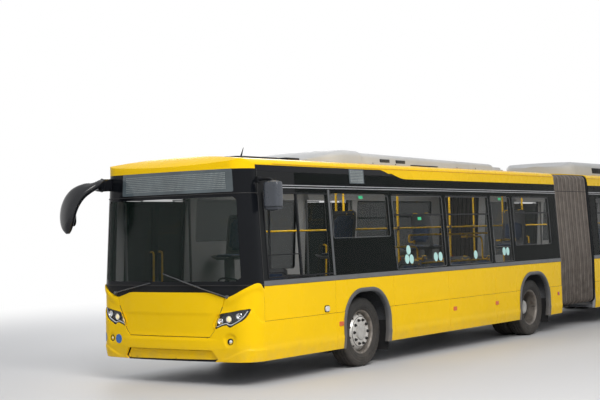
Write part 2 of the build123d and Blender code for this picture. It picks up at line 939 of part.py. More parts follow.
# Seats, the driver's first: distance from the middle, station, height of the base and facing
front_seats = (
    (driver_x, 1000, floor_top, 1),
    (930, 2230, box_top, 1),
    (-930, 2230, box_top, 1),
    (990, 3900, floor_top, 1),
    (540, 3900, floor_top, 1),
    (990, 4700, floor_top, 1),
    (540, 4700, floor_top, 1),
    (990, 6300, floor_top, 1),
    (540, 6300, floor_top, 1),
    (-990, 6800, floor_top, 1),
    (-540, 6800, floor_top, 1),
    (930, 7600, box_top, 1),
    (-930, 7600, box_top, 1),
    (930, 8500, box_top, -1),
    (-930, 8500, box_top, -1),
)
rear_seats = (
    (990, rear_car_start + 579, floor_top, 1),
    (540, rear_car_start + 579, floor_top, 1),
    (990, rear_car_start + 1379, floor_top, 1),
    (540, rear_car_start + 1379, floor_top, 1),
    (990, axle_3 - 1330, floor_top, 1),
    (540, axle_3 - 1330, floor_top, 1),
    (930, axle_3 - 480, box_top, 1),
    (-930, axle_3 - 480, box_top, 1),
    (930, axle_3 + 420, box_top, -1),
    (-930, axle_3 + 420, box_top, -1),
    (930, podium_start + 490, podium_z, 1),
    (465, podium_start + 490, podium_z, 1),
    (0, podium_start + 490, podium_z, 1),
    (-465, podium_start + 490, podium_z, 1),
    (-930, podium_start + 490, podium_z, 1),
)
seats_front_part = Compound(children=[seat(*row) for row in front_seats])
seats_front_part.label = "seats_front"
seats_rear_part = Compound(children=[seat(*row) for row in rear_seats])
seats_rear_part.label = "seats_rear"

# Handrails: distance from the middle, stations of the posts
post_rail_radius = 17
long_rail_radius = 14
rail_z = 1900
front_rails = (
    (300, (3450, 5200, 6900, 8900)),
    (-300, (2000, 4550, 6200, 8900)),
)
rear_rails = (
    (300, (rear_car_start + 229, axle_3 - 2230, axle_3 - 830, podium_start - 160)),
    (-300, (rear_car_start + 229, axle_3 - 2630, axle_3 - 1130, podium_start - 160)),
)


def rails(table):
    """Posts from floor to ceiling, joined by a long rail on each side of the aisle."""
    with BuildPart() as bars:
        for x, stations in table:
            for station in stations:
                with BuildSketch(Plane.XY.offset(floor_top + seat_gap)):
                    with Locations((x, at(station))):
                        Circle(post_rail_radius)
                extrude(amount=ceiling_z(abs(x) + post_rail_radius) - floor_top - 2 * seat_gap)
            with BuildSketch(cross(stations[0])):
                with Locations((x, rail_z)):
                    Circle(long_rail_radius)
            extrude(amount=-(stations[-1] - stations[0]))
    return bars.part


rails_front_part = rails(front_rails)
rails_front_part.label = "rails_front"
rails_rear_part = rails(rear_rails)
rails_rear_part.label = "rails_rear"

# Roof pods: side view as station and height, half-width
front_pod = ((2600, 2800), (2600, 2900), (3170, 3050), (7790, 2985), (7876, 2900), (7876, 2800))
rear_pod = (
    (rear_car_start + 259, 2800),
    (rear_car_start + 259, 3060),
    (rear_car_start + 379, 3120),
    (length - 2790, 3120),
    (length - 2490, 2950),
    (length - 2490, 2800),
)
pod_half = 760


def roof_pod(side_view):
    """Roof pod with rounded upper edges, seated on the arched roof."""
    with BuildPart() as pod:
        with BuildSketch(Plane.YZ.offset(-pod_half)):
            with BuildLine():
                Polyline(*[(at(station), z) for station, z in side_view], close=True)
            make_face()
        extrude(amount=2 * pod_half)
        with BuildSketch(cross(side_view[0][0] - 1)):
            add(roof_face(-seat_gap, eave_z))
        extrude(amount=-(side_view[-1][0] - side_view[0][0] + 2), mode=Mode.SUBTRACT)
    return pod.part


roof_pod_front_part = roof_pod(front_pod)
roof_pod_front_part.label = "roof_pod_front"
roof_pod_rear_part = roof_pod(rear_pod)
roof_pod_rear_part.label = "roof_pod_rear"

# Axles: half of a beam's front view, as distance from the middle and height
beam_low = 170
beam_high = 268
beam_half = 50
eye_radius = 45
fist_low = 415
fist_high = 543
spring_x = 400
spring_radius = 60
front_beam = (
    (0, beam_low),
    (620, beam_low),
    (800, fist_low),
    (kingpin_x, fist_low),
    (kingpin_x, fist_high),
    (760, fist_high),
    (590, beam_high),
    (0, beam_high),
)
cheek_inner = 548
cheek_outer = 602
stub_end = twin_x - 170  # inner end of the hub
fixed_beam = (
    (0, beam_low),
    (cheek_outer, beam_low),
    (cheek_outer, fist_low),
    (stub_end, fist_low),
    (stub_end, fist_high),
    (cheek_inner, fist_high),
    (cheek_inner, beam_high),
    (0, beam_high),
)
spindle_end = twin_x + 20


def axle_beam(station, outline):
    """Beam of an axle with the feet of its springs."""
    with BuildPart() as beam:
        with BuildSketch(cross(station - beam_half)):
            for side in (1, -1):
                with BuildLine():
                    Polyline(*[(side * x, z) for x, z in outline], close=True)
                make_face()
        extrude(amount=-2 * beam_half)
        with BuildSketch(Plane.XY.offset(beam_low)):
            with Locations((spring_x, at(station)), (-spring_x, at(station))):
                Circle(spring_radius)
        extrude(amount=floor_z - seat_gap - beam_low)
    return beam.part


with BuildPart() as front_axle:
    add(axle_beam(axle_1, front_beam))
    with BuildSketch(Plane.XY.offset(fist_low)):
        with Locations((kingpin_x, at(axle_1)), (-kingpin_x, at(axle_1))):
            Circle(eye_radius)
    extrude(amount=fist_high - fist_low)
    with BuildSketch(Plane.XY.offset(beam_low)):
        with Locations((kingpin_x, at(axle_1)), (-kingpin_x, at(axle_1))):
            Circle(kingpin_radius + seat_gap)
    extrude(amount=fist_high, mode=Mode.SUBTRACT)


def fixed_axle(station):
    """Dropped axle of a twin-wheel pair with its spindles."""
    with BuildPart() as axle_part:
        add(axle_beam(station, fixed_beam))
        for side in (1, -1):
            with BuildSketch(Plane.YZ.offset(side * cheek_inner)):
                with Locations((at(station), hub_z)):
                    Circle(spindle_radius)
            extrude(amount=side * (spindle_end - cheek_inner))
    return axle_part.part


front_axles_part = Compound(children=[front_axle.part, fixed_axle(axle_2)])
front_axles_part.label = "front_axles"
rear_axle_part = fixed_axle(axle_3)
rear_axle_part.label = "rear_axle"


fork_thickness = 30
fork_radius = 42
yoke_x = kingpin_x + 75
yoke_thickness = 40
knuckle_spindle = wheel_x + 95  # outer end of the spindle


def knuckle(side):
    """Steering knuckle: a fork round the axle's eye with the kingpin and the wheel's spindle."""
    fork_low = fist_low - run_gap - fork_thickness
    fork_high = fist_high + run_gap
    height = fork_high + fork_thickness - fork_low
    with BuildPart() as body:
        for z in (fork_low, fork_high):
            with BuildSketch(Plane.XY.offset(z)):
                with Locations((side * kingpin_x, at(axle_1))):
                    Circle(fork_radius)
                with Locations((side * (kingpin_x + yoke_x) / 2, at(axle_1))):
                    Rectangle(yoke_x - kingpin_x, 2 * fork_radius)
            extrude(amount=fork_thickness)
        with BuildSketch(Plane.XY.offset(fork_low)):
            with Locations((side * kingpin_x, at(axle_1))):
                Circle(kingpin_radius)
            with Locations((side * yoke_x, at(axle_1))):
                Rectangle(yoke_thickness, 2 * fork_radius)
        extrude(amount=height)
        with BuildSketch(Plane.YZ.offset(side * yoke_x)):
            with Locations((at(axle_1), hub_z)):
                Circle(spindle_radius)
        extrude(amount=side * (knuckle_spindle - yoke_x))
    return body.part


# Wheels and knuckles by body: name, side, axle
wheels = (("front", axle_1), ("middle", axle_2), ("rear", axle_3))
wheel_parts = []
for name, axle in wheels:
    for side, side_name in ((1, "left"), (-1, "right")):
        if axle == axle_1:
            rubber = tyre(side * wheel_x, axle)
            steel = rim(side, axle, wheel_x, (0,), single_disc)
        else:
            offsets = (twin_x + twin_spacing / 2, twin_x - twin_spacing / 2)
            rubber = Compound(children=[tyre(side * x, axle) for x in offsets])
            steel = rim(side, axle, twin_x, (twin_spacing / 2, -twin_spacing / 2), twin_disc)
        rubber.label = f"tyre_{name}_{side_name}"
        steel.label = f"rim_{name}_{side_name}"
        wheel_parts += [rubber, steel]
knuckle_left = knuckle(1)
knuckle_left.label = "knuckle_left"
knuckle_right = knuckle(-1)
knuckle_right.label = "knuckle_right"

# Doors: each of the two leaves hangs at its middle on an arm that turns on a post behind the doorway's edge
post_x = -(width / 2 - post_depth)


def door_leaf(centre, hand):
    """Glazed leaf of a door: hand is 1 for the leaf by the front post and -1 for the other."""
    post_y = centre - hand * (door_half + post_setback)
    first = post_y + hand * leaf_start
    last = post_y + hand * 2 * arm_length
    pivot_y = post_y + hand * arm_length
    with BuildPart() as leaf:
        with BuildSketch(cross(min(first, last))):
            add(side_band(-1, leaf_bottom, leaf_top, 0, leaf_thickness))
        extrude(amount=-abs(last - first))
        with BuildSketch(Plane.YZ.offset(-width / 4)):
            with Locations((at((first + last) / 2), (leaf_bottom + leaf_top) / 2)):
                RectangleRounded(
                    abs(last - first) - 2 * leaf_frame, leaf_top - leaf_bottom - 2 * leaf_rail, window_radius
                )
        extrude(amount=-width / 2, mode=Mode.SUBTRACT)
        for z in (leaf_bottom, leaf_top - door_arm_thickness):
            inner_x = side_x(z) - leaf_thickness + run_gap
            with BuildSketch(Plane.XY.offset(z)):
                with Locations((-(abs(post_x) + inner_x) / 2, at(pivot_y))):
                    Rectangle(inner_x - abs(post_x), door_arm_width)
                with Locations((post_x, at(pivot_y))):
                    Circle(door_arm_width / 2)
                    Circle(door_pin_radius + seat_gap, mode=Mode.SUBTRACT)
            extrude(amount=door_arm_thickness)
    return leaf.part


def door_arm(centre, hand):
    """Post of a door with the lower and the upper arm and their pins."""
    post_y = centre - hand * (door_half + post_setback)
    low_arm = leaf_bottom - door_pin_gap - door_arm_thickness
    high_arm = leaf_top + door_pin_gap
    with BuildPart() as arm:
        with BuildSketch(Plane.XY.offset(floor_top + seat_gap)):
            with Locations((post_x, at(post_y))):
                Circle(post_radius)
        extrude(amount=door_head - floor_top - 2 * seat_gap)
        for z in (low_arm, high_arm):
            with BuildSketch(Plane.XY.offset(z)):
                with Locations((post_x, at(post_y + hand * arm_length / 2))):
                    Rectangle(door_arm_waist, arm_length)
                with Locations((post_x, at(post_y + hand * arm_length))):
                    Circle(door_arm_width / 2)
            extrude(amount=door_arm_thickness)
        for z in (low_arm, leaf_top - door_arm_thickness):
            with BuildSketch(Plane.XY.offset(z)):
                with Locations((post_x, at(post_y + hand * arm_length))):
                    Circle(door_pin_radius)
            extrude(amount=2 * door_arm_thickness + door_pin_gap)
    return arm.part


door_parts = []
for name, centre in doors:
    for hand, letter in ((1, "a"), (-1, "b")):
        leaf_part = door_leaf(centre, hand)
        leaf_part.label = f"{name}_leaf_{letter}"
        arm_part = door_arm(centre, hand)
        arm_part.label = f"{name}_arm_{letter}"
        door_parts += [leaf_part, arm_part]

# Bellows between the cars, in broad folds: ridges at the outside and valleys between them
bellows_low = 420
bellows_corner_z = 2800
bellows_crown_z = 2865
bellows_in = 12  # from the cars' sides to the ridges
bellows_round = 100
bellows_folds = 9
fold_depth = 42
bellows_wall = 12


def bellows_face(inset):
    """Section of the bellows, drawn in from its ridges by an inset."""
    foot_z = bellows_low + inset
    foot_x = side_x(crease_z) - bellows_in - inset
    waist_x = side_x(waist_z) - bellows_in - inset
    corner_x = side_x(bellows_corner_z) - bellows_in - inset
    corner_z = bellows_corner_z - inset
    with BuildSketch() as face:
        with BuildLine():
            Polyline(
                (-corner_x, corner_z),
                (-waist_x, waist_z),
                (-foot_x, foot_z),
                (foot_x, foot_z),
                (waist_x, waist_z),
                (corner_x, corner_z),
            )
            ThreePointArc((corner_x, corner_z), (0, bellows_crown_z - inset), (-corner_x, corner_z))
        make_face()
        ends = face.vertices().group_by(Axis.Y)
        fillet(ends[0] + ends[-1], bellows_round - inset)
    return face.sketch


def bellows_solid(inset):
    """Folded solid between the cars, drawn in by an inset."""
    start = front_car_end + seat_gap
    pitch = (bellows_length - 2 * seat_gap) / (2 * bellows_folds)
    with BuildPart() as folded:
        for k in range(2 * bellows_folds + 1):
            with BuildSketch(cross(start + k * pitch)):
                add(bellows_face(inset + (fold_depth if k % 2 == 0 else 0)))
        loft(ruled=True)
    return folded.part


with BuildPart() as bellows:
    add(bellows_solid(0))
    add(bellows_solid(bellows_wall), mode=Mode.SUBTRACT)
bellows.part.label = "bellows"

# Turntable of the joint, under the floor between the cars, on the boss of the drawbar
plate_radius = 560
plate_thickness = 40
plate_width = 1500
boss_radius = 160
drawbar_low = floor_z - 70
drawbar_thickness = 60
drawbar_radius = 260
drawbar_width = 400
foot_width = 900
foot_length = 240
with BuildPart() as turntable:
    with BuildSketch(Plane.XY.offset(floor_z)):
        with Locations((0, at(pivot))):
            Circle(plate_radius)
        with Locations((0, at((pivot + rear_car_start) / 2))):
            Rectangle(plate_width, rear_car_start - pivot)
        with Locations((0, at(pivot))):
            Circle(boss_radius, mode=Mode.SUBTRACT)
    extrude(amount=plate_thickness)
turntable.part.label = "turntable"
with BuildPart() as drawbar:
    with BuildSketch(Plane.XY.offset(drawbar_low)):
        with Locations((0, at(pivot))):
            Circle(drawbar_radius)
        with Locations((0, at((pivot + front_car_end) / 2))):
            Rectangle(drawbar_width, pivot - front_car_end)
    extrude(amount=drawbar_thickness)
    with BuildSketch(Plane.XY.offset(drawbar_low)):
        with Locations((0, at(front_car_end - foot_length / 2))):
            Rectangle(foot_width, foot_length)
    extrude(amount=floor_z - drawbar_low - seat_gap)
    with BuildSketch(Plane.XY.offset(drawbar_low)):
        with Locations((0, at(pivot))):
            Circle(boss_radius - seat_gap)
    extrude(amount=floor_z + plate_thickness - drawbar_low)
drawbar.part.label = "drawbar"

# Engine and gearbox: one plain block across the tail, on two bearers
engine_low = 430
engine_high = 1300
engine_width = 1500
engine_start = length - 1190
engine_end = length - 390
bearer_x = 520
bearer_width = 80
bearer_low = 420
bearer_start = podium_start + floor_thickness + seat_gap
bearer_end = length - 90
with BuildPart() as engine:
    with BuildSketch(Plane.XY.offset(engine_low)):
        with Locations((0, at((engine_start + engine_end) / 2))):
            Rectangle(engine_width, engine_end - engine_start)
    extrude(amount=engine_high - engine_low)
    with BuildSketch(Plane.XY.offset(bearer_low)):
        with Locations(*[(x, at((bearer_start + bearer_end) / 2)) for x in (-bearer_x, bearer_x)]):
            Rectangle(bearer_width, bearer_end - bearer_start)
    extrude(amount=bearer_width)
engine.part.label = "engine"

# Wipers: each arm from its spindle in the cowl to its tip, as distance from the middle and height
wiper_lines = (((930, 1110), (-60, 1400)), ((-940, 1148), (-350, 1267)))
wiper_width = 18
wiper_depth = 12
wiper_start = -2 - wiper_depth  # station of the arms' outer face
spindle_length = 75
with BuildPart() as wipers:
    for base, tip in wiper_lines:
        run = Vector(*tip) - Vector(*base)
        with BuildSketch(cross(wiper_start)):
            with Locations(Vector(*base) + run * 0.5):
                SlotCenterToCenter(run.length, wiper_width, rotation=degrees(atan2(run.Y, run.X)))
        extrude(amount=-wiper_depth)
        with BuildSketch(cross(wiper_start)):
            with Locations(base):
                Circle(wiper_width)
        extrude(amount=-spindle_length)
    add(mask_blank, mode=Mode.SUBTRACT)
wipers.part.label = "wipers"

# Mirrors
with BuildPart() as body_core_blank:
    for z, set_back in sign_levels:
        with BuildSketch(Plane.XY.offset(z)):
            add(end_face(z, set_back, -seat_gap, corner_radius, bow_radius, mask_end))
    loft(ruled=True)
    with BuildSketch(cross(mask_end)):
        with BuildLine():
            Polyline(
                *[(side_x(z) + seat_gap, z) for z in (waist_z, crown_z)],
                *[(-side_x(z) - seat_gap, z) for z in (crown_z, waist_z)],
                close=True,
            )
        make_face()
    extrude(amount=-mask_end)
body_core = body_core_blank.part

# Right mirror from its root to its tip: distance from the middle, station, height, half-width and half-depth
mirror_sections = (
    (-1125, 335, 2568, 84, 55),
    (-1055, 60, 2572, 84, 55),
    (-1062, -160, 2556, 84, 55),
    (-1160, -312, 2490, 105, 60),
    (-1292, -372, 2352, 160, 72),
    (-1348, -398, 2160, 164, 74),
    (-1338, -408, 1985, 88, 46),
    (-1334, -410, 1940, 32, 22),
)
mirror_round = 0.55  # corner radius of a section as a share of its half-depth
mirror_bend = Vector(0.35, 1, 0)  # across the plane in which the arm bends
mirror_centres = [Vector(x, at(station), z) for x, station, z, half_width, half_depth in mirror_sections]
with BuildPart() as right_mirror:
    for k, (x, station, z, half_width, half_depth) in enumerate(mirror_sections):
        ahead = mirror_centres[min(k + 1, len(mirror_centres) - 1)] - mirror_centres[max(k - 1, 0)]
        with BuildSketch(Plane(origin=mirror_centres[k], x_dir=ahead.cross(mirror_bend), z_dir=ahead)):
            RectangleRounded(2 * half_width, 2 * half_depth, mirror_round * half_depth)
    loft(ruled=True)
    add(body_core, mode=Mode.SUBTRACT)
right_mirror_part = right_mirror.part

# Left mirror: a short housing that hangs from its bracket
left_mirror_x = 1420
left_mirror_y = at(400)
left_mirror_low = 2160
left_mirror_high = 2540
left_mirror_width = 240
left_mirror_depth = 150
left_mirror_round = 55
bracket_root = 1100  # inner end, cut back to the wall
bracket_width = 60
bracket_thickness = 50
bracket_top = 2550
with BuildPart() as left_mirror:
    with BuildSketch(Plane.XY.offset(left_mirror_low)):
        with Locations((left_mirror_x, left_mirror_y)):
            RectangleRounded(left_mirror_width, left_mirror_depth, left_mirror_round)
    extrude(amount=left_mirror_high - left_mirror_low)
    with BuildSketch(Plane.XY.offset(bracket_top - bracket_thickness)):
        with Locations(((left_mirror_x + bracket_root) / 2, left_mirror_y)):
            Rectangle(left_mirror_x - bracket_root, bracket_width)
    extrude(amount=bracket_thickness)
    add(body_core, mode=Mode.SUBTRACT)
mirrors_part = Compound(children=[right_mirror_part, left_mirror.part])
mirrors_part.label = "mirrors"

pieces = [
    front_mask.part,
    front_flap.part,
    headlamps.part,
    windscreen_part,
    sign_part,
    left_wall_front_part,
    right_wall_front_part,
    left_wall_rear_part,
    right_wall_rear_part,
    windows_front.part,
    windows_rear.part,
    roof_front.part,
    roof_rear.part,
    rear_wall.part,
    tail_lamps.part,
    engine_lid.part,
    floor_front.part,
    wheel_boxes_front.part,
    floor_rear.part,
    dashboard.part,
    seats_front_part,
    seats_rear_part,
    rails_front_part,
    rails_rear_part,
    roof_pod_front_part,
    roof_pod_rear_part,
    front_axles_part,
    rear_axle_part,
    knuckle_left,
    knuckle_right,
    bellows.part,
    turntable.part,
    drawbar.part,
    engine.part,
    wipers.part,
    mirrors_part,
]
for piece in pieces + wheel_parts + door_parts:
    export_step(piece, f"parts/{piece.label}.step")
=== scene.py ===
import math
import random

import bmesh
import bpy
import numpy as np
from mathutils import Matrix, Vector
from mathutils.geometry import delaunay_2d_cdt


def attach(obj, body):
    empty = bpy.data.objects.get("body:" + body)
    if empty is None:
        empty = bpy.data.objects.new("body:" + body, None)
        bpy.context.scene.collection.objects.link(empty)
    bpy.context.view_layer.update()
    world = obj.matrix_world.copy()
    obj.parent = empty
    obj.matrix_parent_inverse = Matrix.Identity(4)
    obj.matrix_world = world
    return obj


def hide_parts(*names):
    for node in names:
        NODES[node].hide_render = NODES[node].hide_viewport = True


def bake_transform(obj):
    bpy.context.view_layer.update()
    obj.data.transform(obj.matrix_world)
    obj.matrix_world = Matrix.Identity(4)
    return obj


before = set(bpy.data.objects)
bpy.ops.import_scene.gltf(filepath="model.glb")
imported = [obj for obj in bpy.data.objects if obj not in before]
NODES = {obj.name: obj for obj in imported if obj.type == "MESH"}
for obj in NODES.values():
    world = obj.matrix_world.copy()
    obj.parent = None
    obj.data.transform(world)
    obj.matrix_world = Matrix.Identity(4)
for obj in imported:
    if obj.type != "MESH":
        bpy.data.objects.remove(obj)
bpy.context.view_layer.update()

random.seed(7)

# Sizes of the body, in metres, as in the solids. Stations count rearward from the foremost point.
LENGTH = 17.990
FRONT = -8.745
HALF = 1.275
AXLES = (2.705, 8.070, 14.830)
FRONT_END, REAR_START = 9.186, 10.721
SKIRT_Z, CREASE_Z, WAIST_Z, COWL_Z, EAVE_Z = 0.304, 0.470, 1.227, 1.243, 2.690
LEAN, RAKE = 0.065, 0.022
BOW, CORNER = 8.0, 0.26
TAIL_BOW, TAIL_CORNER = 9.0, 0.20
HUB_Z = 0.479


def at(station):
    """Y of a station."""
    return FRONT + station


def side_x(z):
    """Half-width of the outer side at a height."""
    if z < CREASE_Z:
        return HALF - 0.020 * (CREASE_Z - z) / (CREASE_Z - SKIRT_Z)
    return HALF - LEAN * max(0.0, z - WAIST_Z)


def smooth(value, low, high):
    """0 below low, 1 above high and a soft step between."""
    t = min(1.0, max(0.0, (value - low) / (high - low)))
    return t * t * (3 - 2 * t)


# Materials
def new_material(name):
    material = bpy.data.materials.new(name)
    material.use_nodes = True
    return material, material.node_tree.nodes, material.node_tree.links


def math_node(nodes, links, operation, *sources):
    """Output of a math node that is fed by sockets or plain numbers."""
    node = nodes.new("ShaderNodeMath")
    node.operation = operation
    for socket, source in zip(node.inputs, sources):
        if isinstance(source, float):
            socket.default_value = source
        else:
            links.new(source, socket)
    return node.outputs[0]


def axes_of(nodes, links, where):
    """Outputs for the three axes of a place in the object's own frame."""
    split = nodes.new("ShaderNodeSeparateXYZ")
    links.new(where.outputs["Object"], split.inputs["Vector"])
    return split.outputs


def finish_of(name, color, rough, metal=0.0, spec=0.5, coat=0.0, alpha=1.0, ior=1.5, vary=0.08,
              vary_scale=1.5, grain=0.0, grain_scale=200.0, rough_vary=0.08, dirt=None, sheen=0.0,
              emit=None, stain=None, inner_alpha=None, marks=None):
    """Material with a little variation of tone and roughness, a fine grain and, low down, dust; marks add
    painted shade where a mesh attribute is high.
    """
    material, nodes, links = new_material(name)
    shader = nodes["Principled BSDF"]
    shader.inputs["Metallic"].default_value = metal
    shader.inputs["Specular IOR Level"].default_value = spec
    shader.inputs["IOR"].default_value = ior
    shader.inputs["Coat Weight"].default_value = coat
    shader.inputs["Coat Roughness"].default_value = 0.04
    shader.inputs["Alpha"].default_value = alpha
    shader.inputs["Sheen Weight"].default_value = sheen
    where = nodes.new("ShaderNodeTexCoord")

    def noise(scale, detail=4.0):
        node = nodes.new("ShaderNodeTexNoise")
        node.inputs["Scale"].default_value = scale
        node.inputs["Detail"].default_value = detail
        links.new(where.outputs["Object"], node.inputs["Vector"])
        return node

    def spread(source, low, high, from_low=0.3, from_high=0.7):
        node = nodes.new("ShaderNodeMapRange")
        node.inputs["From Min"].default_value = from_low
        node.inputs["From Max"].default_value = from_high
        node.inputs["To Min"].default_value = low
        node.inputs["To Max"].default_value = high
        links.new(source, node.inputs["Value"])
        return node.outputs["Result"]

    def blend(factor, first, second):
        node = nodes.new("ShaderNodeMix")
        node.data_type = "RGBA"
        links.new(factor, node.inputs["Factor"])
        for socket, value in ((node.inputs["A"], first), (node.inputs["B"], second)):
            if isinstance(value, tuple):
                socket.default_value = (*value[:3], 1)
            else:
                links.new(value, socket)
        return node.outputs["Result"]

    slow = noise(vary_scale)
    dark = tuple(c * (1 - vary) for c in color)
    light = tuple(min(1, c * (1 + vary)) for c in color)
    tone = blend(spread(slow.outputs["Fac"], 0, 1), dark, light)
    roughness = spread(noise(vary_scale * 6).outputs["Fac"], max(0.02, rough - rough_vary),
                       rough + rough_vary)
    if dirt:
        dirt_color, dirt_top, dirt_depth, dirt_amount = dirt
        height = axes_of(nodes, links, where)["Z"]
        low = spread(height, dirt_amount, 0, dirt_top - dirt_depth, dirt_top)
        cloud = spread(noise(9, 8).outputs["Fac"], 0.15, 1.0)
        tone = blend(math_node(nodes, links, "MULTIPLY", low, cloud), tone, dirt_color)
    if stain:
        stain_color, stain_low, stain_high, stain_scale = stain
        patch = spread(noise(stain_scale, 7).outputs["Fac"], 0.0, 0.85, stain_low, stain_high)
        tone = blend(patch, tone, stain_color)
    # painted shade: the colour turns dark where the named mesh attribute is high
    if marks:
        painted_shade_color, painted_shade_attribute = marks
        painted_shade = nodes.new("ShaderNodeAttribute")
        painted_shade.attribute_name = painted_shade_attribute
        tone = blend(painted_shade.outputs["Fac"], tone, painted_shade_color)
    if inner_alpha is not None:
        face_side = nodes.new("ShaderNodeNewGeometry")
        links.new(spread(face_side.outputs["Backfacing"], alpha, inner_alpha, 0.0, 1.0),
                  shader.inputs["Alpha"])
    links.new(tone, shader.inputs["Base Color"])
    links.new(roughness, shader.inputs["Roughness"])
    if grain:
        bump = nodes.new("ShaderNodeBump")
        bump.inputs["Strength"].default_value = grain
        bump.inputs["Distance"].default_value = 0.002
        links.new(noise(grain_scale, 2).outputs["Fac"], bump.inputs["Height"])
        links.new(bump.outputs["Normal"], shader.inputs["Normal"])
    if emit:
        shader.inputs["Emission Color"].default_value = (*emit[0], 1)
        shader.inputs["Emission Strength"].default_value = emit[1]
    return material


DUST = (0.30, 0.25, 0.19)
YELLOW = (0.92, 0.58, 0.004)
paint = finish_of("paint_yellow", YELLOW, 0.28, spec=0.05, coat=0.06, vary=0.03, vary_scale=0.7, grain=0.02,
                  grain_scale=60, rough_vary=0.05, dirt=(DUST, 0.56, 0.26, 0.22))
paint_deep = finish_of("paint_yellow_deep", (0.80, 0.43, 0.004), 0.35, spec=0.15, coat=0.05, vary=0.05,
                       dirt=(DUST, 0.6, 0.3, 0.5))
white_paint = finish_of("paint_white", (0.50, 0.505, 0.51), 0.40, spec=0.25, vary=0.05, grain=0.05,
                        grain_scale=80, dirt=((0.40, 0.39, 0.36), 3.0, 0.2, 0.35))
band = finish_of("band_black", (0.006, 0.007, 0.009), 0.12, spec=0.12, vary=0.2, rough_vary=0.04)
black_plastic = finish_of("black_plastic", (0.010, 0.011, 0.013), 0.45, spec=0.12, vary=0.2, grain=0.25,
                          grain_scale=700)
gloss_black = finish_of("gloss_black", (0.010, 0.011, 0.014), 0.16, spec=0.35, coat=0.15, vary=0.2)
grey_plastic = finish_of("grey_plastic", (0.10, 0.105, 0.112), 0.5, vary=0.12, grain=0.3, grain_scale=500,
                         dirt=(DUST, 0.9, 0.6, 0.25))
trim_grey = finish_of("arch_grey", (0.075, 0.078, 0.085), 0.48, vary=0.15, grain=0.3, grain_scale=420,
                      dirt=(DUST, 0.9, 0.6, 0.3))
alloy = finish_of("alloy", (0.50, 0.51, 0.53), 0.32, metal=0.85, vary=0.08, vary_scale=8)
hub_paint = finish_of("hub_grey", (0.42, 0.41, 0.39), 0.5, vary=0.12, vary_scale=12, grain=0.12,
                      grain_scale=150)
iron = finish_of("iron", (0.035, 0.034, 0.033), 0.65, metal=0.4, vary=0.3, vary_scale=5, grain=0.4,
                 grain_scale=120)
rubber = finish_of("rubber", (0.018, 0.018, 0.019), 0.62, spec=0.35, vary=0.2, grain=0.2, grain_scale=260)
tyre_rubber = finish_of("tyre_rubber", (0.030, 0.029, 0.028), 0.72, spec=0.3, vary=0.22, vary_scale=7,
                        grain=0.35, grain_scale=180, dirt=((0.13, 0.11, 0.09), 0.9, 1.0, 0.45))
glass = finish_of("glass_side", (0.006, 0.010, 0.009), 0.03, spec=0.14, alpha=0.36, ior=1.45, vary=0.2,
                  vary_scale=0.5, rough_vary=0.01, inner_alpha=0.94)
clear_glass = finish_of("glass_clear", (0.02, 0.03, 0.03), 0.03, spec=0.05, alpha=0.05, ior=1.45, vary=0.1,
                        rough_vary=0.01)
screen_glass = finish_of("glass_screen", (0.010, 0.020, 0.016), 0.03, spec=0.22, alpha=0.30, ior=1.5,
                         vary=0.2, vary_scale=0.6, rough_vary=0.01)
lens = finish_of("lens_clear", (0.30, 0.32, 0.34), 0.03, spec=0.5, alpha=0.08, ior=1.5, vary=0.02,
                 rough_vary=0.01)
sign_glass = finish_of("glass_sign", (0.075, 0.095, 0.105), 0.07, spec=0.4, coat=0.1, vary=0.35,
                       vary_scale=2.2, rough_vary=0.02)
chrome = finish_of("reflector", (0.78, 0.79, 0.81), 0.10, metal=1.0, vary=0.04)
bulb = finish_of("bulb_warm", (0.95, 0.83, 0.52), 0.15, vary=0.05, emit=((1.0, 0.82, 0.45), 0.35))
led_white = finish_of("light_strip", (0.74, 0.77, 0.80), 0.2, vary=0.04)
amber = finish_of("amber", (0.66, 0.11, 0.006), 0.15, coat=0.5, vary=0.08, vary_scale=30)
red_lens = finish_of("red_lens", (0.42, 0.008, 0.008), 0.14, coat=0.6, vary=0.15, vary_scale=25, grain=0.15,
                     grain_scale=260)
clear_lens = finish_of("pale_lens", (0.62, 0.63, 0.64), 0.18, coat=0.5, vary=0.06, grain=0.15,
                       grain_scale=260)
blue_disc = finish_of("blue_disc", (0.010, 0.115, 0.42), 0.3, vary=0.08)
leaf_disc = finish_of("pale_disc", (0.50, 0.82, 0.78), 0.35, alpha=0.9, vary=0.08)
seat_cloth = finish_of("seat_cloth", (0.030, 0.050, 0.100), 0.9, spec=0.2, vary=0.35, vary_scale=40,
                       grain=0.5, grain_scale=900, sheen=0.3)
seat_shell = finish_of("seat_shell", (0.12, 0.125, 0.135), 0.45, vary=0.1, grain=0.2, grain_scale=500)
rail_yellow = finish_of("rail_yellow", (0.90, 0.55, 0.01), 0.28, coat=0.3, vary=0.05)
floor_sheet = finish_of("floor_sheet", (0.11, 0.115, 0.125), 0.6, vary=0.3, vary_scale=60, grain=0.3,
                        grain_scale=300)
# bellows cloth: the fold valleys are painted near-black through a mesh attribute, painted shade in the
# creases
bellows_cloth = finish_of("bellows_cloth", (0.190, 0.165, 0.145), 0.66, spec=0.3, vary=0.20, vary_scale=6,
                          grain=0.3, grain_scale=420, dirt=((0.060, 0.047, 0.038), 1.75, 1.1, 0.75),
                          marks=((0.018, 0.014, 0.012), "fold_shade"))


WALL_DEPTH = 0.028


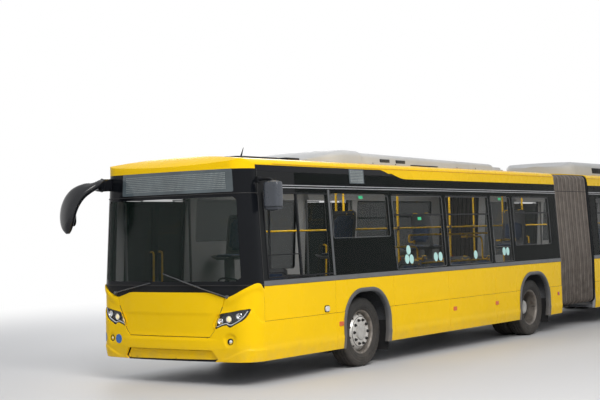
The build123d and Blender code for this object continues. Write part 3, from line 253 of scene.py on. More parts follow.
def two_sided(name, outside, inside):
    """Wall paint with one colour on the outer face of the walls and another further in. The near-black
    outer colour is the black band behind the glass and, below the waist, painted shade in the gaps between
    the painted panels.
    """
    material, nodes, links = new_material(name)
    shader = nodes["Principled BSDF"]
    shader.inputs["Specular IOR Level"].default_value = 0.1
    where = nodes.new("ShaderNodeTexCoord")
    axes = axes_of(nodes, links, where)
    reach = math_node(nodes, links, "ABSOLUTE", axes["X"])
    lean = math_node(nodes, links, "MULTIPLY", axes["Z"], LEAN)
    total = math_node(nodes, links, "ADD", reach, lean)
    step = math_node(nodes, links, "GREATER_THAN", total, HALF + LEAN - WALL_DEPTH)
    mix = nodes.new("ShaderNodeMix")
    mix.data_type = "RGBA"
    links.new(step, mix.inputs["Factor"])
    mix.inputs["A"].default_value = (*inside, 1)
    mix.inputs["B"].default_value = (*outside, 1)
    grain = nodes.new("ShaderNodeTexNoise")
    grain.inputs["Scale"].default_value = 3.0
    links.new(where.outputs["Object"], grain.inputs["Vector"])
    level = nodes.new("ShaderNodeMapRange")
    level.inputs["To Min"].default_value = 0.32
    level.inputs["To Max"].default_value = 0.62
    links.new(grain.outputs["Fac"], level.inputs["Value"])
    links.new(level.outputs["Result"], shader.inputs["Roughness"])
    links.new(mix.outputs["Result"], shader.inputs["Base Color"])
    return material


# near-black outside: the black band behind the glass, and painted shade in the panel gaps below the waist
wall_sheet = two_sided("wall_sheet", (0.010, 0.011, 0.012), (0.36, 0.37, 0.38))


# Mesh helpers
def place(name, verts, faces, material, body, smooth_angle=40.0):
    """Mesh piece that rides on a body."""
    mesh = bpy.data.meshes.new(name)
    mesh.from_pydata([tuple(v) for v in verts], [], faces)
    mesh.validate()
    mesh.update()
    thing = bpy.data.objects.new(name, mesh)
    bpy.context.scene.collection.objects.link(thing)
    thing.data.materials.append(material)
    mesh.shade_smooth()
    mesh.set_sharp_from_angle(angle=math.radians(smooth_angle))
    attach(thing, body)
    return thing


class Shape:
    """Vertices and faces gathered for one piece."""

    def __init__(self):
        self.verts, self.faces = [], []

    def add(self, verts, faces):
        base = len(self.verts)
        self.verts += [Vector(v) for v in verts]
        self.faces += [[base + i for i in f] for f in faces]
        return self

    def place(self, name, material, body, smooth_angle=40.0, slot=None):
        return place(name, self.verts, self.faces, material, body, smooth_angle)


def ring_faces(rows, count, closed=True, caps=False):
    """Quads between rows of points, each row a ring."""
    faces = []
    for r in range(rows - 1):
        for i in range(count if closed else count - 1):
            j = (i + 1) % count
            faces.append([r * count + i, r * count + j, (r + 1) * count + j, (r + 1) * count + i])
    if caps:
        faces.append(list(range(count))[::-1])
        faces.append([(rows - 1) * count + i for i in range(count)])
    return faces


def box_shape(shape, low, high, soft=0.004):
    """Box with chamfered edges."""
    low, high = Vector(low), Vector(high)
    soft = min(soft, *[(high[i] - low[i]) * 0.45 for i in range(3)])
    mesh = bmesh.new()
    bmesh.ops.create_cube(mesh, size=1)
    for v in mesh.verts:
        v.co = Vector([low[i] + (v.co[i] + 0.5) * (high[i] - low[i]) for i in range(3)])
    bmesh.ops.bevel(mesh, geom=mesh.edges[:], offset=soft, segments=2, affect="EDGES", profile=0.7)
    mesh.verts.index_update()
    shape.add([v.co.copy() for v in mesh.verts], [[v.index for v in f.verts] for f in mesh.faces])
    mesh.free()
    return shape


def curve_points(points, step=0.02, closed=False):
    """Points along a polyline, no further apart than a step."""
    points = [Vector(p) for p in points]
    out = []
    pairs = list(zip(points, points[1:] + points[:1])) if closed else list(zip(points, points[1:]))
    for a, b in pairs:
        n = max(1, int(math.ceil((b - a).length / step)))
        out += [a.lerp(b, i / n) for i in range(n)]
    if not closed:
        out.append(points[-1])
    return out


def soft_line(points, rounds=3):
    """Corner-cut curve through a polyline, its ends kept."""
    points = [Vector(p) for p in points]
    for _ in range(rounds):
        new = [points[0]]
        for a, b in zip(points, points[1:]):
            new += [a.lerp(b, 0.25), a.lerp(b, 0.75)]
        points = new + [points[-1]]
    return points


def tube(shape, points, radius, sides=10, flat=1.0, up=(0, 0, 1)):
    """Round or flattened bar along a line of points; radius may be a list."""
    points = [Vector(p) for p in points]
    radii = radius if isinstance(radius, (list, tuple)) else [radius] * len(points)
    verts = []
    for i, p in enumerate(points):
        ahead = points[min(i + 1, len(points) - 1)] - points[max(i - 1, 0)]
        ahead.normalize()
        side = ahead.cross(Vector(up))
        if side.length < 1e-4:
            side = ahead.cross(Vector((1, 0, 0)))
        side.normalize()
        top = side.cross(ahead).normalized()
        for k in range(sides):
            a = 2 * math.pi * k / sides
            verts.append(p + side * math.cos(a) * radii[i] + top * math.sin(a) * radii[i] * flat)
    shape.add(verts, ring_faces(len(points), sides, caps=True))
    return shape


def lathe(shape, profile, centre, axis=(1, 0, 0), sides=64):
    """Turned form: profile gives distance along the axis and radius."""
    axis = Vector(axis).normalized()
    first = axis.cross(Vector((0, 0, 1)))
    if first.length < 1e-3:
        first = axis.cross(Vector((0, 1, 0)))
    first.normalize()
    second = axis.cross(first).normalized()
    centre = Vector(centre)
    verts = []
    for along, radius in profile:
        for k in range(sides):
            a = 2 * math.pi * k / sides
            verts.append(centre + axis * along + (first * math.cos(a) + second * math.sin(a))
                         * max(radius, 1e-5))
    shape.add(verts, ring_faces(len(profile), sides))
    return shape


# Skins of the body: places on its outside by two coordinates and a distance outward
PHI = math.asin((HALF - CORNER) / (BOW - CORNER))
S_BOW = BOW * PHI
S_SIDE = S_BOW + CORNER * (math.pi / 2 - PHI)


def set_back(z):
    """How far the front lies behind the foremost point at a height."""
    if z < CREASE_Z:
        return 0.022 * (CREASE_Z - z) / (CREASE_Z - SKIRT_Z)
    return RAKE * max(0.0, z - COWL_Z)


def nose(s, z, out=0.0):
    """Point on the front at a distance along its plan from the middle (left is positive) and a height."""
    half = side_x(z)
    cx = half - CORNER
    start = set_back(z)
    cy = start + BOW - math.sqrt((BOW - CORNER) ** 2 - cx**2)
    phi0 = math.asin(cx / (BOW - CORNER))
    d, side = abs(s), 1 if s >= 0 else -1
    if d <= S_BOW:
        a = phi0 * d / S_BOW
        x, y = BOW * math.sin(a), start + BOW - BOW * math.cos(a)
    else:
        a = phi0 + (math.pi / 2 - phi0) * min(1.0, (d - S_BOW) / (S_SIDE - S_BOW))
        x, y = cx + CORNER * math.sin(a), cy - CORNER * math.cos(a)
        y += max(0.0, d - S_SIDE)
    x += out * math.sin(a)
    y -= out * math.cos(a)
    return Vector((side * x, at(y), z))


def left(y, z, out=0.0):
    """Point on the left side at a station and a height."""
    return Vector((side_x(z) + out, at(y), z))


def right(y, z, out=0.0):
    """Point on the right side at a station and a height."""
    return Vector((-side_x(z) - out, at(y), z))


def tail(s, z, out=0.0):
    """Point on the tail at a distance from the middle, left is positive."""
    half = side_x(z)
    cx = half - TAIL_CORNER
    if z < CREASE_Z:
        start = 0.010 + 0.030 * (CREASE_Z - z) / (CREASE_Z - SKIRT_Z)
    elif z < WAIST_Z:
        start = 0.010 * (WAIST_Z - z) / (WAIST_Z - CREASE_Z)
    else:
        start = RAKE * (EAVE_Z - COWL_Z) * (z - WAIST_Z) / (EAVE_Z - WAIST_Z)
    cy = start + TAIL_BOW - math.sqrt((TAIL_BOW - TAIL_CORNER) ** 2 - cx**2)
    phi0 = math.asin(cx / (TAIL_BOW - TAIL_CORNER))
    s_bow = TAIL_BOW * phi0
    d, side = abs(s), 1 if s >= 0 else -1
    if d <= s_bow:
        a = d / TAIL_BOW
        x, y = TAIL_BOW * math.sin(a), start + TAIL_BOW - TAIL_BOW * math.cos(a)
    else:
        a = min(math.pi / 2, phi0 + (d - s_bow) / TAIL_CORNER)
        x, y = cx + TAIL_CORNER * math.sin(a), cy - TAIL_CORNER * math.cos(a)
        y += max(0.0, d - s_bow - TAIL_CORNER * (math.pi / 2 - phi0))
    x += out * math.sin(a)
    y -= out * math.cos(a)
    return Vector((side * x, at(LENGTH - y), z))


def inside(points, loop):
    """Which points lie in a closed loop."""
    x, y = points[:, 0], points[:, 1]
    result = np.zeros(len(points), bool)
    n = len(loop)
    for i in range(n):
        x1, y1 = loop[i]
        x2, y2 = loop[(i + 1) % n]
        if y1 == y2:
            continue
        crosses = (y1 > y) != (y2 > y)
        result ^= crosses & (x < (x2 - x1) * (y - y1) / (y2 - y1) + x1)
    return result


def far_from(points, loop, distance):
    """Which points keep a distance from a closed loop."""
    keep = np.ones(len(points), bool)
    n = len(loop)
    for i in range(n):
        a, b = np.array(loop[i]), np.array(loop[(i + 1) % n])
        ab = b - a
        t = np.clip(((points - a) @ ab) / max(1e-12, ab @ ab), 0, 1)
        keep &= np.linalg.norm(points - (a + t[:, None] * ab), axis=1) > distance
    return keep


def inset(loop, amount):
    """Loop drawn in by an amount, its corners kept."""
    n = len(loop)
    area = sum(loop[i][0] * loop[(i + 1) % n][1] - loop[(i + 1) % n][0] * loop[i][1] for i in range(n))
    turn = 1 if area > 0 else -1
    out = []
    for i in range(n):
        p, a, b = Vector(loop[i]), Vector(loop[i - 1]), Vector(loop[(i + 1) % n])
        d1, d2 = (p - a).normalized(), (b - p).normalized()
        n1, n2 = Vector((-d1.y, d1.x)) * turn, Vector((-d2.y, d2.x)) * turn
        m = n1 + n2
        if m.length < 1e-6:
            m = n1
        m.normalize()
        out.append(tuple(p + m * amount / max(0.4, m.dot(n1))))
    return out


def panel(shape, surface, outline, holes=(), out=0.004, thick=0.006, rim=0.0015, step=0.03, relief=None,
          back=False, edge_step=None, rows=()):
    """Sheet cut to an outline in a skin's coordinates, with softened edges turned inward.

    Rows are heights of creases, which get points of their own.
    """
    edge_step = edge_step or step

    def dense(loop):
        return [tuple(p) for p in curve_points([(*p, 0)[:2] + (0,) for p in loop], edge_step, closed=True)]

    loops = [[(p[0], p[1]) for p in dense(loop)] for loop in (outline, *holes)]
    inner = [inset(loops[0], rim)] + [inset(loop, -rim) for loop in loops[1:]]
    us = [p[0] for p in inner[0]]
    vs = [p[1] for p in inner[0]]
    grid_u = np.arange(min(us), max(us), step)
    grid_v = np.arange(min(vs), max(vs), step)
    grid = np.array([(u + (step / 2 if k % 2 else 0), v) for k, v in enumerate(grid_v) for u in grid_u]
                    + [(u, v) for v in rows for u in grid_u])
    keep = inside(grid, inner[0]) & far_from(grid, inner[0], step * 0.45)
    for hole in inner[1:]:
        keep &= ~inside(grid, hole) & far_from(grid, hole, step * 0.45)
    grid = grid[keep]
    flat = [Vector(p) for loop in inner for p in loop] + [Vector(p) for p in grid]
    edges, base = [], 0
    for loop in inner:
        edges += [(base + i, base + (i + 1) % len(loop)) for i in range(len(loop))]
        base += len(loop)
    flat, _, faces, *_ = delaunay_2d_cdt(flat, edges, [], 0, 1e-7)
    centres = np.array([tuple(sum((flat[i] for i in f), Vector((0, 0))) / len(f)) for f in faces])
    keep = inside(centres, inner[0])
    for hole in inner[1:]:
        keep &= ~inside(centres, hole)
    faces = [f for f, k in zip(faces, keep) if k]
    raise_by = relief or (lambda u, v: 0.0)

    def point(p, drop=0.0):
        return surface(p[0], p[1], out + raise_by(p[0], p[1]) - drop)

    verts = [point(p) for p in flat]
    # faces turn outward where the skin's own coordinates say so
    f = max(faces,
            key=lambda face: abs((flat[face[1]] - flat[face[0]]).cross(flat[face[2]] - flat[face[0]])))
    normal = (verts[f[1]] - verts[f[0]]).cross(verts[f[2]] - verts[f[0]])
    u, v = flat[f[0]]
    outward = surface(u, v, 0.01) - surface(u, v, 0.0)
    if normal.dot(outward) < 0:
        faces = [list(f)[::-1] for f in faces]
    shape.add(verts, faces)
    for loop, near in zip(loops, inner):
        n = len(loop)
        turned = [[point(p) for p in near], [point(p, rim * 0.35) for p in inset_mid(loop, near)],
                  [point(p, rim) for p in loop], [point(p, thick) for p in loop]]
        shape.add([v for row in turned for v in row], ring_faces(len(turned), n))
    if back:
        shape.add([point(p, thick) for p in flat], [list(f)[::-1] for f in faces])
    return shape


def inset_mid(loop, near):
    """Loop between a loop and its inset, nearer to the first."""
    return [((a[0] + b[0] * 2) / 3, (a[1] + b[1] * 2) / 3) for a, b in zip(near, loop)]


def rounded(u0, v0, u1, v1, radius, count=6):
    """Rectangle with rounded corners as a loop."""
    radius = min(radius, (u1 - u0) / 2, (v1 - v0) / 2)
    loop = []
    for cu, cv, start in ((u1 - radius, v0 + radius, -90), (u1 - radius, v1 - radius, 0),
                          (u0 + radius, v1 - radius, 90), (u0 + radius, v0 + radius, 180)):
        for k in range(count + 1):
            a = math.radians(start + 90 * k / count)
            loop.append((cu + radius * math.cos(a), cv + radius * math.sin(a)))
    return loop


def circle(u, v, radius, count=32, tall=1.0):
    """Circle as a loop, stretched upward by a factor."""
    return [(u + radius * math.cos(2 * math.pi * k / count), v + radius * tall
             * math.sin(2 * math.pi * k / count)) for k in range(count)]


def paint_node(name, material):
    """Finish for a CAD node that stays in view."""
    thing = NODES[name]
    thing.data.materials.clear()
    thing.data.materials.append(material)


# Front: mask, flap, cowl, lamps, screen and sign
def s_of(x):
    """Distance along the front's plan for a place on its bow."""
    return math.copysign(BOW * math.asin(min(abs(x) / BOW, 1)), x)


S_END = S_SIDE + 0.022
MOULD = [(1.2526, 0.935), (1.285, 0.905), (1.325, 0.840), (1.355, 0.805), (1.3807, 0.789), (1.47, 0.789)]
FLAP = [(0.60, 1.163), (0.66, 1.158), (0.895, 1.094), (0.858, 0.985), (0.8135, 0.888), (0.764, 0.800),
        (0.750, 0.745), (0.735, 0.690), (0.665, 0.612)]
LAMP = [(0.7843, 0.884), (0.850, 0.901), (1.0, 0.922), (1.12, 0.945), (1.232, 0.957), (1.240, 0.950),
        (1.205, 0.890), (1.169, 0.846), (1.130, 0.815), (1.05, 0.775), (0.985, 0.741), (0.961, 0.733),
        (0.935, 0.745), (0.908, 0.764), (0.870, 0.757), (0.80, 0.733), (0.762, 0.714), (0.748, 0.720),
        (0.732, 0.770), (0.7319, 0.783), (0.748, 0.815)]


FOG_LEFT, FOG_RIGHT, FOG_Z = 0.966, 1.024, 0.558


def mould_height(s):
    """Height of the moulding line that runs from the lamp's outer corner to the side."""
    if s <= MOULD[0][0]:
        return None
    for (s0, z0), (s1, z1) in zip(MOULD, MOULD[1:]):
        if s <= s1:
            return z0 + (z1 - z0) * (s - s0) / (s1 - s0)
    return MOULD[-1][1]


def mask_relief(s, z):
    """How far the mask stands out: bumper, brow above the lamp, lower lip and bowls of the fog lamps."""
    d = abs(s)
    out = 0.0
    edge = mould_height(d)
    if edge is not None:
        out += 0.013 * smooth(edge - z, -0.010, 0.008) * smooth(d, 1.2526, 1.29)
        out += 0.013 * (1 - smooth(d, 1.2526, 1.29)) * smooth(0.95 - z, -0.01, 0.02)
    else:
        out += 0.013 * smooth(0.92 - z, -0.02, 0.02)
    # brow: swells towards its upper edge
    top = 1.094 + (1.272 - 1.094) * smooth(d, 0.90, 1.33) - 0.075 * smooth(d, 1.36, 1.45)
    if d > 0.80 and z > 0.93:
        swell = 0.016 * smooth(z, top - 0.115, top - 0.045) * smooth(d, 0.86, 0.98)
        out += swell * (1 - 0.6 * smooth(d, 1.36, 1.45))
        out -= 0.010 * smooth(z, top - 0.02, top + 0.012)
    # lower lip that runs round the corner and dies out towards the insert
    lip = 0.352 + 0.118 * smooth(d, 0.86, 1.22)
    out += 0.014 * smooth(lip - z, -0.004, 0.022) * smooth(d, 0.80, 0.95)
    # bowl round the fog lamp, sharp above and soft below
    du, dz = d - (FOG_LEFT if s > 0 else FOG_RIGHT), z - FOG_Z
    r = math.hypot(du, dz)
    if s > 0:
        reach = 0.085 + 0.030 * smooth(dz, -0.02, 0.06)
        out -= 0.020 * (1 - smooth(r, reach * 0.62, reach)) * smooth(dz + 0.4 * (-du), -0.10, 0.02)
    else:
        out -= 0.012 * (1 - smooth(r, 0.040, 0.075))
    # chamfer that faces up under the flap
    if d < 0.9:
        out += 0.012 * smooth(0.600 - z, 0.0, 0.035) * (1 - smooth(d, 0.62, 0.86))
    return out


def mirror_loop(loop):
    """Loop mirrored to the other side, its direction kept."""
    return [(-u, v) for u, v in loop][::-1]


flap_loop = FLAP + mirror_loop(FLAP)
seam = 0.008
# left half of the mask's edge, from the bumper insert round the corner to the flap
mask_left = [(0.700, 0.447), (0.785, 0.342), (0.745, SKIRT_Z), (S_END, SKIRT_Z + 0.004), (S_END, 1.196),
             (1.432, 1.213), (1.405, 1.246), (1.372, 1.266), (1.347, 1.272), (1.31, 1.268), (1.25, 1.246),
             (1.16, 1.203), (1.051, 1.145), (0.97, 1.113), (0.918, 1.098)]
flap_out = inset(flap_loop, -seam)
half_gap = sorted([p for p in flap_out if p[0] > 0.01], key=lambda p: -p[1])
# the mask and the bumper are one painted shell round the flap and the lamps
flap_run = [p for p in half_gap if p[1] < 1.12]
mask_outline = mask_left + flap_run + mirror_loop(flap_run) + mirror_loop(mask_left)
lamp_hole = inset(LAMP, -0.004)
mask = Shape()
panel(mask, nose, mask_outline, holes=(lamp_hole, mirror_loop(lamp_hole)), out=0.006, thick=0.030,
      rim=0.003, step=0.013, relief=mask_relief)
mask_piece = mask.place("mask_shell", paint, "front_car", 32, "paint_yellow")
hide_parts("front_mask")


def flap_relief(s, z):
    """Flap: upper field proud of the lower one, with a rolled lower edge."""
    d = abs(s)
    out = 0.010 * smooth(z - 0.885, -0.006, 0.016) * (1 - smooth(d, 0.62, 0.80))
    out += 0.006 * smooth(0.650 - z, 0.0, 0.022)
    out += 0.004 * (1 - (d / 0.9) ** 2)
    return out


flap = Shape()
panel(flap, nose, flap_loop, out=0.006, thick=0.020, rim=0.003, step=0.018, relief=flap_relief, back=True)
box_shape(flap, (-0.340, at(0.001), 1.128), (-0.260, at(0.020), 1.150))
box_shape(flap, (0.260, at(0.001), 1.128), (0.340, at(0.020), 1.150))
flap_piece = flap.place("flap_shell", paint, "front_flap", 32, "paint_yellow")
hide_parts("front_flap")

# dark tube in the gap down the flap's sides and below it: painted shade in the seam
gap_shade = Shape()
gap_shade_run = inset(flap_loop, -seam / 2)
low_half = [p for p in gap_shade_run if p[1] < 1.085]
gap_shade_right = sorted([p for p in low_half if p[0] > 0], key=lambda p: -p[1])
gap_shade_line = gap_shade_right + mirror_loop(gap_shade_right)
gap_shade_points = curve_points([(u, v, 0.0) for u, v in gap_shade_line], 0.03)
tube(gap_shade, [nose(p[0], p[1], 0.0065) for p in gap_shade_points], 0.0033, 6)
gap_shade.place("flap_gap_shade", rubber, "front_car", 50, "rubber")

# dark structure behind the mask, seen through its gaps
backing = Shape()
panel(backing, nose, [(-S_END, SKIRT_Z + 0.02), (S_END, SKIRT_Z + 0.02), (S_END, COWL_Z), (-S_END, COWL_Z)],
      holes=(inset(LAMP, 0.012), mirror_loop(inset(LAMP, 0.012)), inset(flap_loop, 0.05)), out=-0.040,
      thick=0.004, step=0.05)
backing.place("mask_backing", black_plastic, "front_car", 32, "trim")

# cowl between the flap, the brows and the screen
cowl = Shape()
panel(cowl, nose, [(-1.34, 1.262), (-1.32, 1.18), (-1.051, 1.09), (-0.905, 1.065), (-0.66, 1.16),
                   (0.66, 1.16), (0.905, 1.065), (1.051, 1.09), (1.32, 1.18), (1.34, 1.262)], out=-0.006,
      thick=0.03, step=0.03, relief=lambda s, z: 0.008 * smooth(z, 1.215, 1.240))
for k in range(7):
    u = -0.42 + 0.14 * k
    panel(cowl, nose, rounded(u - 0.05, 1.180, u + 0.05, 1.192, 0.006, 3), out=-0.003, thick=0.006,
          step=0.02)
cowl.place("cowl", black_plastic, "front_car", 35, "trim")

# bumper insert with its sloping ends and the split at its left
insert = Shape()
panel(insert, nose, [(0.690, 0.440), (-0.690, 0.440), (-0.768, 0.335), (-0.74, 0.312), (0.72, 0.330),
                     (0.768, 0.340)], out=-0.014, thick=0.02, rim=0.004, step=0.03,
      relief=lambda s, z: 0.006 * smooth(0.37 - z, 0, 0.03))
insert.place("bumper_insert", paint, "front_car", 35, "paint_yellow")
under = Shape()
panel(under, nose, [(-0.78, 0.292), (0.78, 0.300), (0.78, 0.335), (-0.78, 0.325)], out=-0.03, thick=0.02,
      step=0.05)
under.place("bumper_underside", black_plastic, "front_car", 35, "trim")
split = Shape()
panel(split, nose, [(0.553, 0.450), (0.549, 0.450), (0.556, 0.540), (0.575, 0.590), (0.640, 0.603),
                    (0.645, 0.600), (0.580, 0.584), (0.561, 0.540)], out=0.0195, thick=0.01, rim=0.0004,
      step=0.02)
split.place("bumper_split", black_plastic, "front_car", 35, "trim")

# headlamps: dark bowl, three lamps, the light strip along the lower edge and the clear cover
for side in (1, -1):
    loop = LAMP if side == 1 else mirror_loop(LAMP)
    name = "left" if side == 1 else "right"
    bowl = Shape()
    panel(bowl, nose, loop, out=-0.034, thick=0.004, step=0.03,
          relief=lambda u, v: 0.010 * math.sin(24 * u) * math.sin(30 * v) * 0.3)
    rim_out, rim_in = loop, inset(loop, 0.014)
    panel(bowl, nose, rim_out, holes=(rim_in,), out=0.004, thick=0.040, rim=0.002, step=0.02)
    bowl.place(f"lamp_bowl_{name}", gloss_black, "front_car", 40, "trim")
    for k, (u, v, r) in enumerate(((0.812, 0.806, 0.040), (0.940, 0.835, 0.043), (1.085, 0.873, 0.041))):
        centre = nose(side * u, v, -0.022)
        axis = nose(side * u, v, 0.01) - nose(side * u, v, 0.0)
        lamp = Shape()
        if k == 1:
            lathe(lamp, [(-0.012, r * 0.99), (0.008, r), (0.012, r * 0.95), (0.008, r * 0.80),
                         (0.010, r * 0.72)], centre, axis, 40)
            lamp.place(f"lamp_ring_{name}", chrome, "front_car", 50, "lamp")
            core = Shape()
            lathe(core, [(0.004, r * 0.74), (0.014, r * 0.66), (0.021, r * 0.45), (0.025, r * 0.2),
                         (0.026, 0.0)], centre, axis, 40)
            core.place(f"lamp_core_{name}", bulb, "front_car", 60, "lamp")
        else:
            lathe(lamp, [(-0.010, r), (0.006, r), (0.008, r * 0.94), (-0.004, r * 0.80), (-0.012, r * 0.52),
                         (-0.014, r * 0.34), (0.000, r * 0.30), (0.006, r * 0.16), (0.007, 0.0)], centre,
                  axis, 40)
            lamp.place(f"lamp_reflector_{name}_{k}", chrome, "front_car", 45, "lamp")
    strip = Shape()
    run = [(0.765, 0.735), (0.86, 0.775), (0.915, 0.783), (0.955, 0.757), (1.02, 0.782), (1.10, 0.822),
           (1.155, 0.868), (1.205, 0.935)]
    tube(strip, [nose(side * p.x, p.y, -0.010) for p in soft_line([(*p, 0) for p in run], 2)], 0.0085, 8,
         0.8)
    strip.place(f"lamp_strip_{name}", led_white, "front_car", 60, "lamp")
    cover = Shape()
    panel(cover, nose, inset(loop, 0.006), out=0.006, thick=0.003, rim=0.002, step=0.03)
    piece = cover.place(f"lamp_cover_{name}", lens, "front_car", 40, "lamp")
    if side == 1:
        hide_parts("headlamps")
    # fog lamp in its bowl
    u = FOG_LEFT if side == 1 else FOG_RIGHT
    centre = nose(side * u, FOG_Z, -0.003 if side == 1 else -0.002)
    axis = nose(side * u, FOG_Z, 0.01) - nose(side * u, FOG_Z, 0.0)
    fog = Shape()
    lathe(fog, [(-0.02, 0.040), (0.012, 0.040), (0.015, 0.037), (0.012, 0.031), (0.002, 0.028)], centre,
          axis, 36)
    fog.place(f"fog_ring_{name}", black_plastic, "front_car", 45, "trim")
    core = Shape()
    lathe(core, [(0.000, 0.030), (0.006, 0.024), (0.009, 0.012), (0.010, 0.0)], centre, axis, 36)
    core.place(f"fog_lens_{name}", chrome, "front_car", 60, "lamp")
discs = Shape()
for u, v in ((-0.885, 0.552), (-1.205, 0.560)):
    panel(discs, nose, circle(u, v, 0.060, 40), out=0.0215, thick=0.002, rim=0.001, step=0.03)
discs.place("blank_discs", blue_disc, "front_car", 40, "trim")

# windscreen: clear sheet with a black border
paint_node("windscreen", screen_glass)
border = Shape()
clear = [(-1.10, 1.300), (1.06, 1.300), (1.135, 1.345), (1.145, 2.30), (1.10, 2.345), (-1.12, 2.345),
         (-1.165, 2.30), (-1.165, 1.345)]
panel(border, nose, [(-S_END, COWL_Z + 0.004), (S_END, COWL_Z + 0.004), (S_END, 2.384), (-S_END, 2.384)],
      holes=(clear,), out=0.003, thick=0.003, rim=0.001, step=0.05, edge_step=0.03)
border.place("screen_border", band, "front_car", 35, "black_band")
seal = Shape()
tube(seal, [nose(s, COWL_Z + 0.006, 0.004) for s in np.linspace(-S_END, S_END, 90)], 0.006, 8)
tube(seal, [nose(s, 2.385, 0.004) for s in np.linspace(-S_END, S_END, 90)], 0.006, 8)
for sgn in (1, -1):
    tube(seal, [nose(sgn * S_END, z, 0.004) for z in np.linspace(1.20, 2.69, 30)], 0.005, 8, up=(0, 1, 0))
seal.place("screen_seals", rubber, "front_car", 50, "rubber")

# sign: dark housing with a glass sheet
paint_node("front_sign", band)
sheet = Shape()
panel(sheet, nose, rounded(-0.86, 2.405, 1.115, 2.690, 0.02), out=0.0045, thick=0.004, rim=0.001, step=0.06)
sheet.place("sign_glass", sign_glass, "front_car", 35, "glass")


# Sides: painted panels over the walls, arch trims, glass band, rails and markers
for wall_name in ("left_wall_front", "right_wall_front", "left_wall_rear", "right_wall_rear", "rear_wall"):
    paint_node(wall_name, wall_sheet)
for roof_name in ("roof_front", "roof_rear"):
    paint_node(roof_name, paint)

ARCH_HALF, ARCH_TOP, ARCH_FILLET = 0.605, 1.098, 0.48
DOORS = (1.125, 5.375, 12.925)
DOOR_HALF = 0.625
STEP_Z, FOLD_Z = 0.789, 0.486


def arch_line(axle, half, top, fillet, foot=SKIRT_Z - 0.01, count=14):
    """Open outline of a wheel arch from its front foot to its rear foot."""
    points = [(axle - half, foot), (axle - half, top - fillet)]
    points += [(axle - half + fillet - fillet * math.cos(a), top - fillet + fillet * math.sin(a))
               for a in np.linspace(0.05, math.pi / 2, count)]
    points += [(axle + half - fillet + fillet * math.sin(a), top - fillet + fillet * math.cos(a))
               for a in np.linspace(0, math.pi / 2 - 0.05, count)]
    return points + [(axle + half, top - fillet), (axle + half, foot)]


def skirt_relief(y, z):
    """Side below the glass: proud below the step line, and again below the crease."""
    return 0.006 * smooth(STEP_Z - z, -0.008, -0.004) + 0.008 * smooth(FOLD_Z - z, 0.0, 0.020)


def chord(radius, height):
    """Half-width of a circle at a height over its centre, and its radius below that."""
    return math.sqrt(max(0.0, radius**2 - max(0.0, height) ** 2))


def side_panels(shape, surface, first, last, axles, seams, gap=0.0022, top=1.226, openings=()):
    """Painted panels of one side between two stations, cut round the arches and the doorways."""
    cuts = sorted([(a - ARCH_HALF + 0.012, a + ARCH_HALF - 0.012, a) for a in axles]
                  + [(c - DOOR_HALF, c + DOOR_HALF, None) for c in openings])
    edges = sorted([first, last] + list(seams))
    spans = [(a + gap, b - gap) for a, b in zip(edges, edges[1:])]
    for a, b in spans:
        for low, high in ((SKIRT_Z + 0.002, STEP_Z + 0.004), (STEP_Z + 0.008, top)):
            # cut the span at arches and doorways that reach into it
            runs = [(a, b, None, None)]
            for c0, c1, axle in cuts:
                new = []
                for r0, r1, left_arch, right_arch in runs:
                    if c1 <= r0 or c0 >= r1:
                        new.append((r0, r1, left_arch, right_arch))
                        continue
                    if axle is None:
                        if c0 > r0:
                            new.append((r0, c0 - 0.004, left_arch, None))
                        if c1 < r1:
                            new.append((c1 + 0.004, r1, None, right_arch))
                    elif high > ARCH_TOP:
                        new.append((r0, r1, left_arch, ("over", axle)))
                    else:
                        if c0 > r0:
                            new.append((r0, c0, left_arch, axle))
                        if c1 < r1:
                            new.append((c1, r1, axle, right_arch))
                runs = new
            for r0, r1, left_arch, right_arch in runs:
                if r1 - r0 < 0.03:
                    continue
                half, peak, fillet = ARCH_HALF - 0.012, ARCH_TOP - 0.012, ARCH_FILLET
                if isinstance(right_arch, tuple):
                    axle = right_arch[1]
                    line = [p for p in arch_line(axle, half, peak, fillet) if p[1] > low + 0.001
                            and r0 < p[0] < r1]
                    reach = half - fillet + chord(fillet, low - (peak - fillet))
                    loop = [(r0, high), (r0, low)]
                    if axle - reach > r0:
                        loop += [(axle - reach, low)]
                    loop += line
                    if axle + reach < r1:
                        loop += [(axle + reach, low), (r1, low)]
                    loop += [(r1, high)]
                    if axle - reach <= r0:
                        loop.remove((r0, low))
                        z_at = peak
                        if r0 < axle - half + fillet:
                            drop = fillet - half + (axle - r0)
                            z_at = peak - fillet + math.sqrt(max(0.0, fillet**2 - drop**2))
                        loop.insert(1, (r0, z_at + 0.001))
                else:
                    loop = [(r0, high), (r0, low), (r1, low), (r1, high)]
                    x_at = fillet - chord(fillet, high - (peak - fillet))
                    if left_arch is not None:
                        side = [(left_arch + half - x_at, high)]
                        side += [p for p in arch_line(left_arch, half, peak, fillet) if p[0] > left_arch
                                 and low < p[1] < high]
                        loop = side + [(r0, low), (r1, low), (r1, high)]
                    if right_arch is not None:
                        side = [p for p in arch_line(right_arch, half, peak, fillet) if p[0] < right_arch
                                and low < p[1] < high]
                        side += [(right_arch - half + x_at, high)]
                        head = loop[:-2] if left_arch is not None else [(r0, high), (r0, low)]
                        loop = head + [(r1, low)] + side
                panel(shape, surface, loop, out=0.003, thick=0.009, rim=0.0018, step=0.05, edge_step=0.04,
                      relief=skirt_relief, rows=(FOLD_Z - 0.021, FOLD_Z + 0.001) if low < FOLD_Z else ())


def painted_side(name, surface, first, last, axles, seams, body, openings=()):
    """Painted panels of one side of a car as one piece."""
    shape = Shape()
    side_panels(shape, surface, first, last, axles, seams, openings=openings)
    return shape.place(name, paint, body, 32, "paint_yellow")


